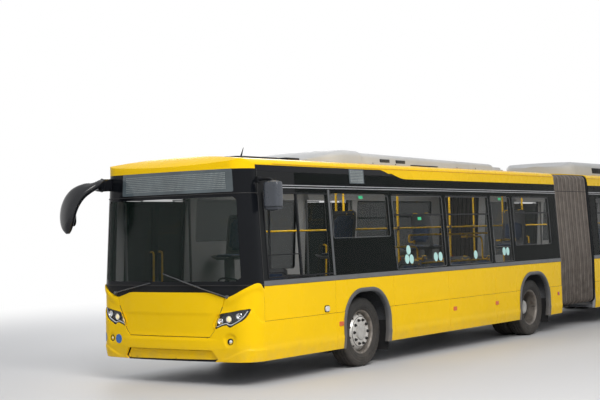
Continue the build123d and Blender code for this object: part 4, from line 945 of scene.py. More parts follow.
painted_side("side_panels_left_front", left, 0.3535, FRONT_END, AXLES[:2],
             (1.93, 3.42, 5.03, 6.60, 7.36, 8.86), "front_car")
painted_side("side_panels_right_front", right, 0.3535, FRONT_END, AXLES[:2],
             (1.88, 3.42, 4.60, 6.20, 7.36, 8.86), "front_car", DOORS[:2])
painted_side("side_panels_left_rear", left, REAR_START, 17.655, AXLES[2:], (12.48, 13.96, 15.50, 16.90),
             "rear_car")
painted_side("side_panels_right_rear", right, REAR_START, 17.655, AXLES[2:], (12.1, 13.75, 15.50, 16.90),
             "rear_car", DOORS[2:])


def arch_trim(shape, surface, axle):
    """Rolled rubber-grey trim round a wheel arch, in three lengths with small joints."""
    outer = arch_line(axle, ARCH_HALF, ARCH_TOP, ARCH_FILLET, foot=SKIRT_Z - 0.004)
    inner = arch_line(axle, 0.545, 1.037, 0.42, foot=SKIRT_Z - 0.004)
    outer = [tuple(p)[:2] for p in curve_points([(*p, 0) for p in outer], 0.03)]
    inner_path = [Vector((*p, 0)) for p in curve_points([(*p, 0) for p in inner], 0.01)]
    total = [0.0]
    for a, b in zip(inner_path, inner_path[1:]):
        total.append(total[-1] + (b - a).length)
    outer_path = [Vector((*p, 0)) for p in outer]
    run = [0.0]
    for a, b in zip(outer_path, outer_path[1:]):
        run.append(run[-1] + (b - a).length)

    def along(path, lengths, t):
        want = t * lengths[-1]
        for i in range(len(lengths) - 1):
            if lengths[i + 1] >= want:
                f = (want - lengths[i]) / max(1e-9, lengths[i + 1] - lengths[i])
                return path[i].lerp(path[i + 1], f)
        return path[-1]

    section = ((0.0, 0.002), (0.04, 0.016), (0.16, 0.024), (0.45, 0.025), (0.75, 0.022), (0.93, 0.014),
               (1.0, -0.002), (1.0, -0.045))
    breaks = (0.0, 0.255, 0.745, 1.0)
    for t0, t1 in zip(breaks, breaks[1:]):
        rows = []
        for t in np.linspace(t0 + 0.0008, t1 - 0.0008, 34):
            a, b = along(outer_path, run, t), along(inner_path, total, t)
            for across, lift in section:
                p = a.lerp(b, across)
                rows.append(surface(p.x, p.y, lift + skirt_relief(p.x, p.y) * (1 - across)))
        n = len(section)
        faces = []
        for r in range(33):
            for i in range(n - 1):
                faces.append([r * n + i, r * n + i + 1, (r + 1) * n + i + 1, (r + 1) * n + i])
        shape.add(rows, faces)


for surface, side_name in ((left, "left"), (right, "right")):
    for axle, axle_name in zip(AXLES, ("front", "middle", "rear")):
        trim = Shape()
        arch_trim(trim, surface, axle)
        body = "rear_car" if axle > FRONT_END else "front_car"
        trim.place(f"arch_trim_{axle_name}_{side_name}", trim_grey, body, 50, "trim")

# glass sheets over the black band, in lengths with narrow joints
LOW_GLASS, HIGH_GLASS = 1.295, 2.655
FLAT_GLASS = dict(out=0.0035, thick=0.0025, rim=0.0008, step=0.4, edge_step=0.25)
WINDOW_BAR = dict(thick=0.012, rim=0.002, step=0.3, edge_step=0.2)
MARKER = dict(out=0.017, thick=0.012, rim=0.004, step=0.03)


def glass_sheets(shape, surface, cuts, low=LOW_GLASS, high=HIGH_GLASS, gap=0.003):
    """Glass sheets of one side, from each cut to the next."""
    for a, b in zip(cuts, cuts[1:]):
        panel(shape, surface, rounded(a + gap, low, b - gap, high, 0.012, 3), **FLAT_GLASS)


WINDOWS = {
    "left_front": ((1.96, 3.44, 1.78), (3.53, 5.01, 1.30), (5.098, 6.54, 1.30), (6.628, 7.34, 1.30),
                   (7.43, 8.86, 1.552)),
    "right_front": ((1.985, 3.44, 1.78), (3.53, 4.48, 1.30), (6.27, 7.34, 1.30), (7.43, 8.86, 1.552)),
    "left_rear": ((11.05, 12.44, 1.30), (12.53, 13.92, 1.30), (14.01, 15.40, 1.552), (15.49, 16.88, 1.552)),
    "right_rear": ((11.05, 12.03, 1.30), (13.82, 15.40, 1.552), (15.49, 16.88, 1.552)),
}
glass_left = Shape()
glass_sheets(glass_left, left, (1.925, 3.488, 5.054, 6.584, 7.383, 8.91, 9.18))
glass_left.place("glass_left_front", glass, "front_car", 40, "glass")
glass_right = Shape()
glass_sheets(glass_right, right, (1.80, 3.488, 4.72))
glass_sheets(glass_right, right, (6.03, 7.383, 8.91, 9.18))
glass_right.place("glass_right_front", glass, "front_car", 40, "glass")
glass_left_rear = Shape()
glass_sheets(glass_left_rear, left, (10.73, 11.0, 12.485, 13.965, 15.445, 16.93, 17.60))
glass_left_rear.place("glass_left_rear", glass, "rear_car", 40, "glass")
glass_right_rear = Shape()
glass_sheets(glass_right_rear, right, (10.73, 11.0, 12.26))
glass_sheets(glass_right_rear, right, (13.59, 15.445, 16.93, 17.60))
glass_right_rear.place("glass_right_rear", glass, "rear_car", 40, "glass")
paint_node("windows_front", clear_glass)
paint_node("windows_rear", clear_glass)

# driver's window: fixed rear pane, an open front part and its frame
driver = Shape()
panel(driver, left, rounded(1.18, 1.30, 1.925, 2.655, 0.012, 3), **FLAT_GLASS)
driver.place("glass_driver", glass, "front_car", 40, "glass")
frames = Shape()
for y0, z0, y1, z1 in ((0.46, 1.315, 1.90, 1.335), (0.46, 2.375, 1.90, 2.392), (1.165, 1.315, 1.195, 2.39),
                       (0.455, 1.315, 0.475, 2.39), (0.46, 1.60, 1.18, 1.612)):
    panel(frames, left, rounded(y0, z0, y1, z1, 0.004, 2), out=0.008, thick=0.03, rim=0.002, step=0.3,
          edge_step=0.2)
for surface, table in ((left, ((3.545, 4.995, 2.094), (7.445, 8.845, 2.108), (5.113, 6.525, 2.094))),
                       (right, ((6.285, 7.325, 2.094), (7.445, 8.845, 2.108)))):
    for y0, y1, z in table:
        panel(frames, surface, rounded(y0, z - 0.012, y1, z + 0.012, 0.004, 2), out=0.009, **WINDOW_BAR)
        panel(frames, surface, rounded(y0, 2.372, y1, 2.390, 0.004, 2), out=0.008, **WINDOW_BAR)
frames.place("window_frames_front", black_plastic, "front_car", 40, "trim")
rear_frames = Shape()
for surface, table in ((left, ((11.065, 12.425), (12.545, 13.905), (15.505, 16.865))),
                       (right, ((13.835, 15.385), (15.505, 16.865)))):
    for y0, y1 in table:
        for z0, z1 in ((2.084, 2.106), (2.372, 2.390)):
            panel(rear_frames, surface, rounded(y0, z0, y1, z1, 0.004, 2), out=0.009, **WINDOW_BAR)
rear_frames.place("window_frames_rear", black_plastic, "rear_car", 40, "trim")

# grey rubber lines round the panes and the grey post behind the driver's window
for key, table in WINDOWS.items():
    side_name, car = key.split("_")
    surface = left if side_name == "left" else right
    lines = Shape()
    for y0, y1, low in table:
        loop = rounded(y0 + 0.012, low + 0.012, y1 - 0.012, 2.366, 0.030, 4)
        tube(lines, [surface(u, v, 0.0062) for u, v in loop + loop[:1]], 0.0036, 6, 1.0)
    lines.place(f"pane_lines_{key}", grey_plastic, f"{car}_car", 50, "rubber")
post_strip = Shape()
panel(post_strip, left, rounded(1.903, 1.300, 1.948, 2.440, 0.006, 2), out=0.0075, thick=0.006, rim=0.002,
      step=0.3, edge_step=0.2)
post_strip.place("driver_post", finish_of("post_grey", (0.10, 0.105, 0.11), 0.45, spec=0.2, vary=0.1),
                 "front_car", 40, "trim")

# sill strip under the glass, and the double rail above it
SILL_RUNS = (
    (left, "left", ((0.3535, FRONT_END, "front_car"), (REAR_START, 17.655, "rear_car"))),
    (right, "right", ((1.76, 4.74, "front_car"), (6.01, FRONT_END, "front_car"),
                      (REAR_START, 12.29, "rear_car"), (13.56, 17.655, "rear_car"))),
)
for surface, side_name, runs in SILL_RUNS:
    for k, (y0, y1, body) in enumerate(runs):
        strip = Shape()
        panel(strip, surface, [(y0, 1.229), (y1, 1.229), (y1, 1.291), (y0, 1.291)], out=0.008, thick=0.01,
              rim=0.003, step=0.5, edge_step=0.3, relief=lambda y, z: -0.003 * smooth(z, 1.262, 1.28))
        strip.place(f"sill_strip_{side_name}_{k}", grey_plastic, body, 40, "trim")
        rail = Shape()
        for z in (2.457, 2.487):
            start = max(y0, 0.60) if y0 < 1 else y0
            tube(rail, [surface(y, z, 0.006) for y in np.linspace(start, y1 - 0.004, 40)], 0.0065, 8, 1.0)
        rail.place(f"band_rails_{side_name}_{k}", alloy, body, 50, "steel")

def band_top(y, front_end=True):
    """Height at which the roof paint begins above the black band."""
    if front_end:
        return 2.742 - 0.125 * smooth(y, 3.30, 3.98)
    return 2.617


for surface, side_name in ((left, "left"), (right, "right")):
    for y0, y1, body, forward in ((0.3535, FRONT_END, "front_car", True),
                                  (REAR_START, 17.655, "rear_car", False)):
        stations = np.linspace(y0, y1, 110)
        low_line = [(y, band_top(y, forward)) for y in stations]
        shape = Shape()
        top_line = [(y1, 2.752), (y0, 2.752)]
        panel(shape, surface, low_line + top_line, out=0.004, thick=0.006, rim=0.0015, step=0.09,
              edge_step=0.09)
        name = f"cant_rail_{side_name}_{'front' if forward else 'rear'}"
        shape.place(name, paint, body, 35, "paint_yellow")
        above = Shape()
        if forward:
            panel(above, surface, [(y0, 2.660), (3.6, 2.660), (3.42, 2.715), (3.30, 2.738), (y0, 2.738)],
                  out=0.002, thick=0.004, rim=0.001, step=0.2, edge_step=0.1)
            above.place(f"cant_glass_{side_name}", band, body, 35, "black_band")

# small side display in the band by the second window, side markers and repeaters
display = Shape()
panel(display, left, rounded(2.465, 2.533, 2.835, 2.732, 0.012), out=0.0085, thick=0.006, rim=0.001,
      step=0.3)
display.place("side_display", sign_glass, "front_car", 40, "glass")
for car, left_stations, right_stations in (
    ("front", (2.038, 5.20, 6.62), (1.98, 4.40, 6.62)),
    ("rear", (11.6, 13.5, 16.3), (11.6, 14.0, 16.3)),
):
    markers = Shape()
    for surface, table in ((left, left_stations), (right, right_stations)):
        for y in table:
            panel(markers, surface, rounded(y - 0.052, 0.612, y + 0.052, 0.672, 0.008, 3), **MARKER)
    markers.place(f"side_markers_{car}", amber, f"{car}_car", 40, "lamp")
end_markers = Shape()
for surface in (left, right):
    panel(end_markers, surface, rounded(8.99, 0.634, 9.06, 0.694, 0.008, 3), **MARKER)
end_markers.place("end_markers", red_lens, "front_car", 40, "tail_lamp")
repeaters = Shape()
foot = Shape()
for surface in (left, right):
    y = 1.711 if surface is left else 1.82
    panel(foot, surface, rounded(y - 0.058, 0.818, y + 0.058, 0.908, 0.028), out=0.010, thick=0.008,
          rim=0.003, step=0.03)
    panel(repeaters, surface, rounded(y - 0.048, 0.828, y + 0.048, 0.898, 0.028), out=0.028, thick=0.018,
          rim=0.006, step=0.02, relief=lambda a, b, y=y: -0.010 * ((a - y) / 0.05) ** 2)
foot.place("repeater_feet", black_plastic, "front_car", 50, "trim")
repeaters.place("repeaters", clear_lens, "front_car", 50, "lamp")

# mud flaps behind the wheels
for axle, body, name in zip(AXLES, ("front_car", "front_car", "rear_car"), ("front", "middle", "rear")):
    flaps = Shape()
    for side in (1, -1):
        rows = []
        for i, t in enumerate(np.linspace(0, 1, 9)):
            z = 0.60 - 0.42 * t
            y = at(axle + 0.590 + 0.012 * math.sin(2.6 * t))
            rows.append((y, z))
        x0, x1 = side * 0.78, side * 1.235
        verts, n = [], len(rows)
        for dy in (0.0, 0.006):
            for x in (x0, x1):
                verts += [(x, y + dy, z) for y, z in rows]
        faces = []
        for i in range(n - 1):
            faces.append([i, i + 1, n + i + 1, n + i])
            faces.append([2 * n + i, 3 * n + i, 3 * n + i + 1, 2 * n + i + 1])
            faces.append([i, 2 * n + i, 2 * n + i + 1, i + 1])
            faces.append([n + i, n + i + 1, 3 * n + i + 1, 3 * n + i])
        faces += [[0, n, 3 * n, 2 * n], [n - 1, 3 * n - 1, 4 * n - 1, 2 * n - 1]]
        flaps.add(verts, faces)
    flaps.place(f"mud_flaps_{name}", rubber, body, 40, "rubber")


# Wheels: tyres with grooves and ribbed walls, steel discs with hand holes, nuts and hub caps
disc_steel = finish_of("disc_steel", (0.60, 0.585, 0.555), 0.36, metal=0.45, vary=0.14, vary_scale=7,
                       grain=0.18, grain_scale=150, stain=((0.17, 0.095, 0.05), 0.56, 0.74, 5.0))
dark_rim = finish_of("rim_dark", (0.030, 0.028, 0.027), 0.5, metal=0.3, vary=0.3, vary_scale=12, grain=0.3,
                     grain_scale=200, stain=((0.16, 0.10, 0.06), 0.60, 0.80, 9.0))

worn_rim = finish_of("rim_worn", (0.20, 0.18, 0.16), 0.45, metal=0.35, vary=0.3, vary_scale=12, grain=0.3,
                     grain_scale=200, stain=((0.10, 0.07, 0.05), 0.55, 0.80, 9.0))


def tyre_profile():
    """Section of a tyre from the outer bead over the tread to the inner bead."""
    wall_side = [(0.103, 0.288), (0.107, 0.3005), (0.1185, 0.3055), (0.1245, 0.314), (0.1300, 0.330),
                 (0.1335, 0.346), (0.1372, 0.3490), (0.1378, 0.3545), (0.1350, 0.3580), (0.1370, 0.378),
                 (0.1374, 0.398), (0.1352, 0.4015), (0.1352, 0.4060), (0.1368, 0.4090), (0.1352, 0.428),
                 (0.1338, 0.4300), (0.1330, 0.4445), (0.1265, 0.4580), (0.1200, 0.4665)]
    tread = []
    for low, high in ((0.082, 0.112), (0.033, 0.073), (-0.024, 0.024), (-0.073, -0.033), (-0.112, -0.082)):
        for x in (high, high - 0.002, (low + high) / 2, low + 0.002, low):
            drop = 0.0012 if x in (low, high) else 0.0
            tread.append((x, 0.4788 - 0.0052 * (x / 0.1075) ** 2 - drop))
        if low > -0.1:
            tread += [(low - 0.0016, 0.4665), (low - 0.0074, 0.4665)]
    return wall_side + tread + [(-x, r) for x, r in reversed(wall_side)]


TYRE = tyre_profile()


def tyre_mesh(shape, centre, sides=112):
    """Tyre about a point on the X axis, with notches round its shoulders."""
    verts = []
    n = len(TYRE)
    for x, r in TYRE:
        for k in range(sides):
            a = 2 * math.pi * k / sides
            on_shoulder = 0.100 < abs(x) < 0.128 and r > 0.455
            radius = r - (0.0055 if on_shoulder and k % 4 == 0 else 0.0)
            verts.append((centre[0] + x, centre[1] + radius * math.cos(a), centre[2] + radius
                          * math.sin(a)))
    shape.add(verts, ring_faces(n, sides))


def single_height(r):
    """How far the front wheel's disc stands outward from the wheel's middle at a radius."""
    table = ((0.0, 0.104), (0.150, 0.1045), (0.196, 0.1040), (0.206, 0.1005), (0.213, 0.094),
             (0.236, 0.071), (0.251, 0.052), (0.262, 0.042), (0.268, 0.036))
    return float(np.interp(r, [t[0] for t in table], [t[1] for t in table]))


def twin_height(r):
    """How far the dished disc of a twin wheel stands outward from the middle of the pair at a radius."""
    table = ((0.0, 0.018), (0.190, 0.018), (0.203, 0.022), (0.214, 0.032), (0.240, 0.062), (0.256, 0.078),
             (0.267, 0.084))
    return float(np.interp(r, [t[0] for t in table], [t[1] for t in table]))


def wheel_disc(shape, centre, side, height, thick):
    """Disc with ten hand holes about a wheel's middle."""

    def surface(u, v, out):
        return Vector((centre[0] + side * (height(math.hypot(u, v)) + out), centre[1] + u, centre[2] + v))

    holes = [circle(0, 0, 0.112, 48)]
    for k in range(10):
        a = 2 * math.pi * (k + 0.5) / 10
        tall = []
        for p, q in circle(0, 0, 0.021, 16):
            p *= 0.72
            tall.append(((0.2385 + p) * math.cos(a) - q * math.sin(a), (0.2385 + p) * math.sin(a) + q
                         * math.cos(a)))
        holes.append(tall)
    panel(shape, surface, circle(0, 0, 0.2665, 84), holes=holes, out=0, thick=thick, rim=0.0015, step=0.011,
          edge_step=0.009, back=True)


def barrel_profile(low, high):
    """Section of a rim's barrel between its two flanges, seen from the inside."""
    return [(high - 0.001, 0.2955), (high + 0.0035, 0.3022), (high + 0.0068, 0.3015),
            (high + 0.0070, 0.2960), (high + 0.003, 0.289), (high - 0.004, 0.2815), (high - 0.016, 0.2755),
            (high - 0.045, 0.2722), (0.5 * (low + high), 0.2700), (low + 0.045, 0.2722),
            (low + 0.016, 0.2755), (low + 0.004, 0.2815), (low - 0.003, 0.289), (low - 0.0070, 0.2960),
            (low - 0.0068, 0.3015), (low - 0.0035, 0.3022), (low + 0.001, 0.2955)]


def nuts(shape, centre, side, base, count=10, circle_radius=0.1675, size=0.0185, tall=0.021):
    """Ring of wheel nuts with their washers and stud ends."""
    for k in range(count):
        a = 2 * math.pi * k / count
        spot = (centre[0] + side * base, centre[1] + circle_radius * math.cos(a), centre[2] + circle_radius
                * math.sin(a))
        lathe(shape, [(0.0, size * 1.25), (0.0035, size * 1.22), (0.004, size)], spot, (side, 0, 0), 14)
        lathe(shape, [(0.003, size), (tall - 0.002, size), (tall, size * 0.86), (tall, size * 0.60)], spot,
              (side, 0, 0), 6)
        lathe(shape, [(tall - 0.001, size * 0.60), (tall + 0.009, size * 0.58), (tall + 0.011, size * 0.45),
                      (tall + 0.011, 0.0)], spot, (side, 0, 0), 12)


WHEEL_X, TWIN_X, TWIN_HALF = 1.050, 0.905, 0.156
for axle, axle_name in zip(AXLES, ("front", "middle", "rear")):
    for side, side_name in ((1, "left"), (-1, "right")):
        body = f"wheel_{axle_name}_{side_name}"
        single = axle_name == "front"
        middle = (side * (WHEEL_X if single else TWIN_X), at(axle), HUB_Z)
        offsets = (0.0,) if single else (TWIN_HALF, -TWIN_HALF)
        rubber_ring = Shape()
        for offset in offsets:
            tyre_mesh(rubber_ring, (middle[0] + side * offset, middle[1], middle[2]))
        piece = rubber_ring.place(f"tyre_{axle_name}_{side_name}_tread", tyre_rubber, body, 42, "tyre")
        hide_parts(f"tyre_{axle_name}_{side_name}")
        barrels = Shape()
        for offset in offsets:
            lathe(barrels, barrel_profile(-0.105, 0.105), (middle[0] + side * offset, middle[1], middle[2]),
                  (side, 0, 0), 96)
        barrels.place(f"rim_{axle_name}_{side_name}_barrel", worn_rim, body, 40, "steel")
        disc = Shape()
        wheel_disc(disc, middle, side, single_height if single else twin_height, 0.011)
        piece = disc.place(f"rim_{axle_name}_{side_name}_disc", disc_steel if single else dark_rim, body,
                           40, "steel")
        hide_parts(f"rim_{axle_name}_{side_name}")
        studs = Shape()
        nuts(studs, middle, side, 0.1045 if single else 0.018)
        studs.place(f"rim_{axle_name}_{side_name}_nuts", iron, body, 35, "iron")
        cap = Shape()
        if single:
            lathe(cap, [(0.030, 0.118), (0.1040, 0.117), (0.1060, 0.1125), (0.1075, 0.1100),
                        (0.1180, 0.1085), (0.1220, 0.1050), (0.1235, 0.0980), (0.1225, 0.0930),
                        (0.1240, 0.0880), (0.1255, 0.0500), (0.1258, 0.0)], middle, (side, 0, 0), 72)
            for k in range(6):
                a = 2 * math.pi * (k + 0.25) / 6
                spot = (middle[0] + side * 0.1235, middle[1] + 0.099 * math.cos(a), middle[2] + 0.099
                        * math.sin(a))
                lathe(cap, [(0, 0.005), (0.003, 0.005), (0.003, 0.0)], spot, (side, 0, 0), 8)
        else:
            lathe(cap, [(0.010, 0.136), (0.022, 0.134), (0.090, 0.126), (0.140, 0.121), (0.144, 0.116),
                        (0.150, 0.1145), (0.158, 0.108), (0.1605, 0.100), (0.1600, 0.055), (0.1590, 0.050),
                        (0.1590, 0.0)], middle, (side, 0, 0), 72)
            for k in range(10):
                a = 2 * math.pi * (k + 0.5) / 10
                spot = (middle[0] + side * 0.159, middle[1] + 0.088 * math.cos(a), middle[2] + 0.088
                        * math.sin(a))
                lathe(cap, [(0, 0.008), (0.007, 0.008), (0.008, 0.006), (0.008, 0.0)], spot, (side, 0, 0),
                      6)
        cap.place(f"rim_{axle_name}_{side_name}_hub", hub_paint, body, 35, "steel")
        inner = Shape()
        # inner face of the hub with the brake drum
        depth = -0.02 if single else -0.158
        lathe(inner, [(depth + 0.12, 0.205), (depth + 0.118, 0.212), (depth, 0.212), (depth - 0.004, 0.206),
                      (depth - 0.004, 0.060), (depth + 0.11, 0.055)], middle, (side, 0, 0), 56)
        valve = [(middle[0] + side * (offsets[0] + 0.02), middle[1] + 0.262, middle[2]),
                 (middle[0] + side * (offsets[0] + 0.075), middle[1] + 0.250, middle[2]),
                 (middle[0] + side * (offsets[0] + 0.100), middle[1] + 0.236, middle[2])]
        tube(inner, soft_line(valve, 2), 0.0042, 8)
        inner.place(f"rim_{axle_name}_{side_name}_drum", iron, body, 40, "iron")


# Running gear and joint below the floor
under_paint = finish_of("chassis_grey", (0.055, 0.055, 0.056), 0.6, metal=0.2, vary=0.3, vary_scale=4,
                        grain=0.35, grain_scale=90, dirt=((0.12, 0.10, 0.08), 0.6, 0.6, 0.6))
for node in ("front_axles", "rear_axle", "knuckle_left", "knuckle_right", "drawbar", "turntable", "engine"):
    paint_node(node, under_paint)
for node in ("floor_front", "floor_rear", "wheel_boxes_front"):
    paint_node(node, floor_sheet)


# Bellows: folded cloth between two frames
BELLOWS_LOW, BELLOWS_CORNER, BELLOWS_CROWN, BELLOWS_ROUND, BELLOWS_IN = 0.420, 2.800, 2.865, 0.100, 0.012
MAIN_FOLDS, FINE_FOLDS = 9, 3
MAIN_DEPTH, FINE_DEPTH = 0.036, 0.022
BELLOWS_START, BELLOWS_END = FRONT_END + 0.004, REAR_START - 0.004


def bellows_line(step=0.055):
    """Closed outline of the ridges across the bus, with its corners rounded."""
    corner_x = side_x(BELLOWS_CORNER) - BELLOWS_IN
    rise = BELLOWS_CROWN - BELLOWS_CORNER
    radius = (corner_x**2 + rise**2) / (2 * rise)
    arch = [corner_x * f for f in (1, 0.82, 0.6, 0.4, 0.2, 0, -0.2, -0.4, -0.6, -0.82, -1)]
    points = [Vector((x, BELLOWS_CROWN - radius + math.sqrt(radius**2 - x**2), 0)) for x in arch]
    foot_x, waist_x = side_x(CREASE_Z) - BELLOWS_IN, side_x(WAIST_Z) - BELLOWS_IN
    points += [Vector((-waist_x, WAIST_Z, 0)), Vector((-foot_x, BELLOWS_LOW, 0)),
               Vector((foot_x, BELLOWS_LOW, 0)), Vector((waist_x, WAIST_Z, 0))]
    out, n = [], len(points)
    for i, p in enumerate(points):
        before, after = (points[i - 1] - p).normalized(), (points[(i + 1) % n] - p).normalized()
        turn = math.pi - before.angle(after)
        if turn < 0.4:
            out.append(p)
            continue
        reach = BELLOWS_ROUND * math.tan(turn / 2)
        centre = p + (before + after).normalized() * BELLOWS_ROUND / math.cos(turn / 2)
        first, last = p + before * reach - centre, p + after * reach - centre
        for k in range(9):
            spot = first.lerp(last, k / 8).normalized() * BELLOWS_ROUND
            out.append(centre + spot)
    return curve_points(out, step, closed=True)


bellows_loop = bellows_line()
bellows_normals = []
for k, p in enumerate(bellows_loop):
    along = bellows_loop[(k + 1) % len(bellows_loop)] - bellows_loop[k - 1]
    bellows_normals.append(Vector((along.y, -along.x, 0)).normalized())
if bellows_normals[0].y < 0:
    bellows_normals = [-normal for normal in bellows_normals]
fold_wander = [random.uniform(-1, 1) for _ in range(MAIN_FOLDS * FINE_FOLDS + 2)]


def fold_point(t, k, lift=0.0):
    """Point of the bellows at a share of its length and a place round its outline."""
    p, normal = bellows_loop[k], bellows_normals[k]
    main = t * MAIN_FOLDS
    fine = main * FINE_FOLDS
    ridge = 1 - abs(2 * (main % 1) - 1)
    pleat = abs(math.sin(math.pi * fine)) ** 0.7
    depth = MAIN_DEPTH * (1 - ridge) + FINE_DEPTH * (1 - pleat) + 0.002
    nearest = int(round(fine))
    drift = fold_wander[nearest] * 0.011 * math.sin(1.3 + 1.9 * p.y + 0.8 * nearest)
    drift += 0.010 * math.sin(math.pi * t) * math.sin(2.4 * p.y + 0.6)
    y = BELLOWS_START + (BELLOWS_END - BELLOWS_START) * t + drift * math.sin(math.pi * t)
    spot = p - normal * (depth - lift)
    return Vector((spot.x, at(y), spot.y))


def blended(name, shape, material, smooth_angle=70.0):
    """Piece of the bellows that spans the gap between the two cars, fixed in place."""
    mesh = bpy.data.meshes.new(name)
    mesh.from_pydata([tuple(v) for v in shape.verts], [], shape.faces)
    mesh.validate()
    mesh.update()
    thing = bpy.data.objects.new(name, mesh)
    bpy.context.scene.collection.objects.link(thing)
    mesh.materials.append(material)
    mesh.shade_smooth()
    mesh.set_sharp_from_angle(angle=math.radians(smooth_angle))
    at(FRONT_END)
    at(REAR_START)
    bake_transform(thing)
    return thing


folded = Shape()
fold_rows = MAIN_FOLDS * FINE_FOLDS * 6 + 1
folded.add([fold_point(r / (fold_rows - 1), k) for r in range(fold_rows) for k in range(len(bellows_loop))],
           ring_faces(fold_rows, len(bellows_loop)))
folds = blended("bellows_folds", folded, bellows_cloth)
# painted shade: each row gets a value from its depth in the folds, high in the valleys, which darkens the
# cloth there
fold_shade_mask = folds.data.attributes.new("fold_shade", "FLOAT", "POINT")
for r in range(fold_rows):
    main = r / (fold_rows - 1) * MAIN_FOLDS
    ridge = 1 - abs(2 * (main % 1) - 1)
    pleat = abs(math.sin(math.pi * main * FINE_FOLDS)) ** 0.7
    for k in range(len(bellows_loop)):
        fold_shade_mask.data[r * len(bellows_loop) + k].value = min(1.0, 0.75 * (1 - pleat) + 0.38 * (1 - ridge))
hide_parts("bellows")

# seam along both sides of the bellows at the windows' upper edge: a tape that follows the folds
seam_shape = Shape()
for side in (1, -1):
    near = [k for k, p in enumerate(bellows_loop) if p.x * side > 0 and 2.40 < p.y < 2.62]
    near.sort(key=lambda k: abs(bellows_loop[k].y - 2.50))
    low, high = sorted(near[:2], key=lambda k: bellows_loop[k].y)
    rows = []
    for r in range(fold_rows):
        t = r / (fold_rows - 1)
        bottom, top = fold_point(t, low, 0.0025), fold_point(t, high, 0.0025)
        share = (2.50 - bellows_loop[low].y) / (bellows_loop[high].y - bellows_loop[low].y)
        rows += [bottom.lerp(top, share - 0.10), bottom.lerp(top, share + 0.10)]
    seam_shape.add(rows, ring_faces(fold_rows, 2, closed=False) if side > 0
                   else [f[::-1] for f in ring_faces(fold_rows, 2, closed=False)])
blended("bellows_seam", seam_shape, rubber)

for body, y, grow in (("front_car", FRONT_END + 0.004, 1), ("rear_car", REAR_START - 0.004, -1)):
    frame_bar = Shape()
    verts = []
    for depth, out in ((0.0, 0.006), (0.026, 0.006), (0.030, 0.002), (0.030, -0.058), (0.0, -0.058)):
        for p, normal in zip(bellows_loop, bellows_normals):
            spot = p + normal * out
            verts.append((spot.x, at(y + grow * depth), spot.y))
    frame_bar.add(verts, ring_faces(5, len(bellows_loop)))
    frame_bar.place(f"bellows_frame_{body}", black_plastic, body, 50, "trim")


# Roof: seams, gutter, hatches and the two pods
ROOF_RADIUS = 8.034
CROWN_Z = 2.892


def roof_z(x):
    """Height of the roof's outside at a distance from the middle."""
    return CROWN_Z - ROOF_RADIUS + math.sqrt(ROOF_RADIUS**2 - x**2)


gutters = {"front_car": (0.72, FRONT_END - 0.01), "rear_car": (REAR_START + 0.01, 17.30)}
for body, (y0, y1) in gutters.items():
    bars = Shape()
    for side in (1, -1):
        surface = left if side == 1 else right
        tube(bars, [surface(y, 2.757, 0.007) for y in np.linspace(max(y0, 0.42), y1, 50)], 0.0055, 8)
    for y in np.arange(y0 + 1.2, y1 - 0.4, 1.46):
        line = [Vector((x, at(y), roof_z(x) + 0.0012)) for x in np.linspace(-1.10, 1.10, 24)]
        tube(bars, line, 0.0045, 6, 0.5)
    bars.place(f"roof_seams_{body}", paint_deep, body, 60, "paint_yellow")


def roof_hatch(shape, y, long=0.86, wide=0.74, high=0.075, x=0.0):
    """Low moulded hatch with a domed lid."""
    rings = []
    count = 40
    for inset_by, z in ((-0.035, -0.02), (-0.035, 0.020), (-0.028, 0.028), (-0.004, 0.030), (0.0, 0.034),
                        (0.004, high - 0.02), (0.022, high - 0.006), (0.09, high - 0.001),
                        (0.20, high + 0.008)):
        loop = rounded(-wide / 2 + inset_by, -long / 2 + inset_by, wide / 2 - inset_by, long / 2 - inset_by,
                       max(0.03, 0.10 - inset_by * 0.6), 8)
        rings.append([Vector((x + u, at(y) + v, roof_z(x + u) + z)) for u, v in loop])
    n = len(rings[0])
    verts = [p for ring in rings for p in ring]
    verts.append(Vector((x, at(y), roof_z(x) + high + 0.010)))
    faces = ring_faces(len(rings), n)
    last = (len(rings) - 1) * n
    faces += [[last + i, last + (i + 1) % n, len(verts) - 1] for i in range(n)]
    shape.add(verts, faces)


hatches = Shape()
roof_hatch(hatches, 8.50, long=0.60)
hatches.place("roof_hatches_front", white_paint, "front_car", 35, "paint_white")
hatches = Shape()
roof_hatch(hatches, 16.45)
hatches.place("roof_hatches_rear", white_paint, "rear_car", 35, "paint_white")
box = Shape()
roof_hatch(box, 1.55, high=0.030)
box_shape(box, (-0.28, at(2.30), 2.862), (0.28, at(2.575), 2.935), 0.012)
for k in range(7):
    y = 2.325 + 0.033 * k
    box_shape(box, (-0.24, at(y), 2.933), (0.24, at(y + 0.012), 2.941), 0.003)
box.place("roof_vent", black_plastic, "front_car", 40, "trim")
base = Shape()
lathe(base, [(0.0, 0.052), (0.012, 0.050), (0.018, 0.030), (0.030, 0.012), (0.150, 0.0035), (0.152, 0.0)],
      (0.45, at(1.0), roof_z(0.45) - 0.004), (0.1, 0.35, 1), 20)
base.place("aerial", black_plastic, "front_car", 40, "trim")


def pod_sections(stations, half_of, top_of, edge_round=0.11):
    """Rings of a roof pod from one end to the other."""
    rings = []
    for y in stations:
        half, top = half_of(y), top_of(y)
        foot = roof_z(half)
        r = max(0.012, min(edge_round, (top - foot) * 0.55, half * 0.5))
        ring = [Vector((half, at(y), foot - 0.012))]
        ring += [Vector((half - 0.012 * t, at(y), foot + (top - r - foot) * t))
                 for t in (0.0, 0.3, 0.6, 1.0)]
        for k in range(1, 9):
            a = math.pi / 2 * k / 8
            ring.append(Vector((half - 0.012 - r + r * math.cos(a), at(y), top - r + r * math.sin(a))))
        inner = half - 0.012 - r
        for k in range(1, 10):
            x = inner * (1 - k / 10)
            ring.append(Vector((x, at(y), top + 0.010 * (1 - (x / inner) ** 2))))
        ring.append(Vector((0, at(y), top + 0.010)))
        mirrored = [Vector((-p.x, p.y, p.z)) for p in reversed(ring[:-1])]
        rings.append(ring + mirrored)
    return rings


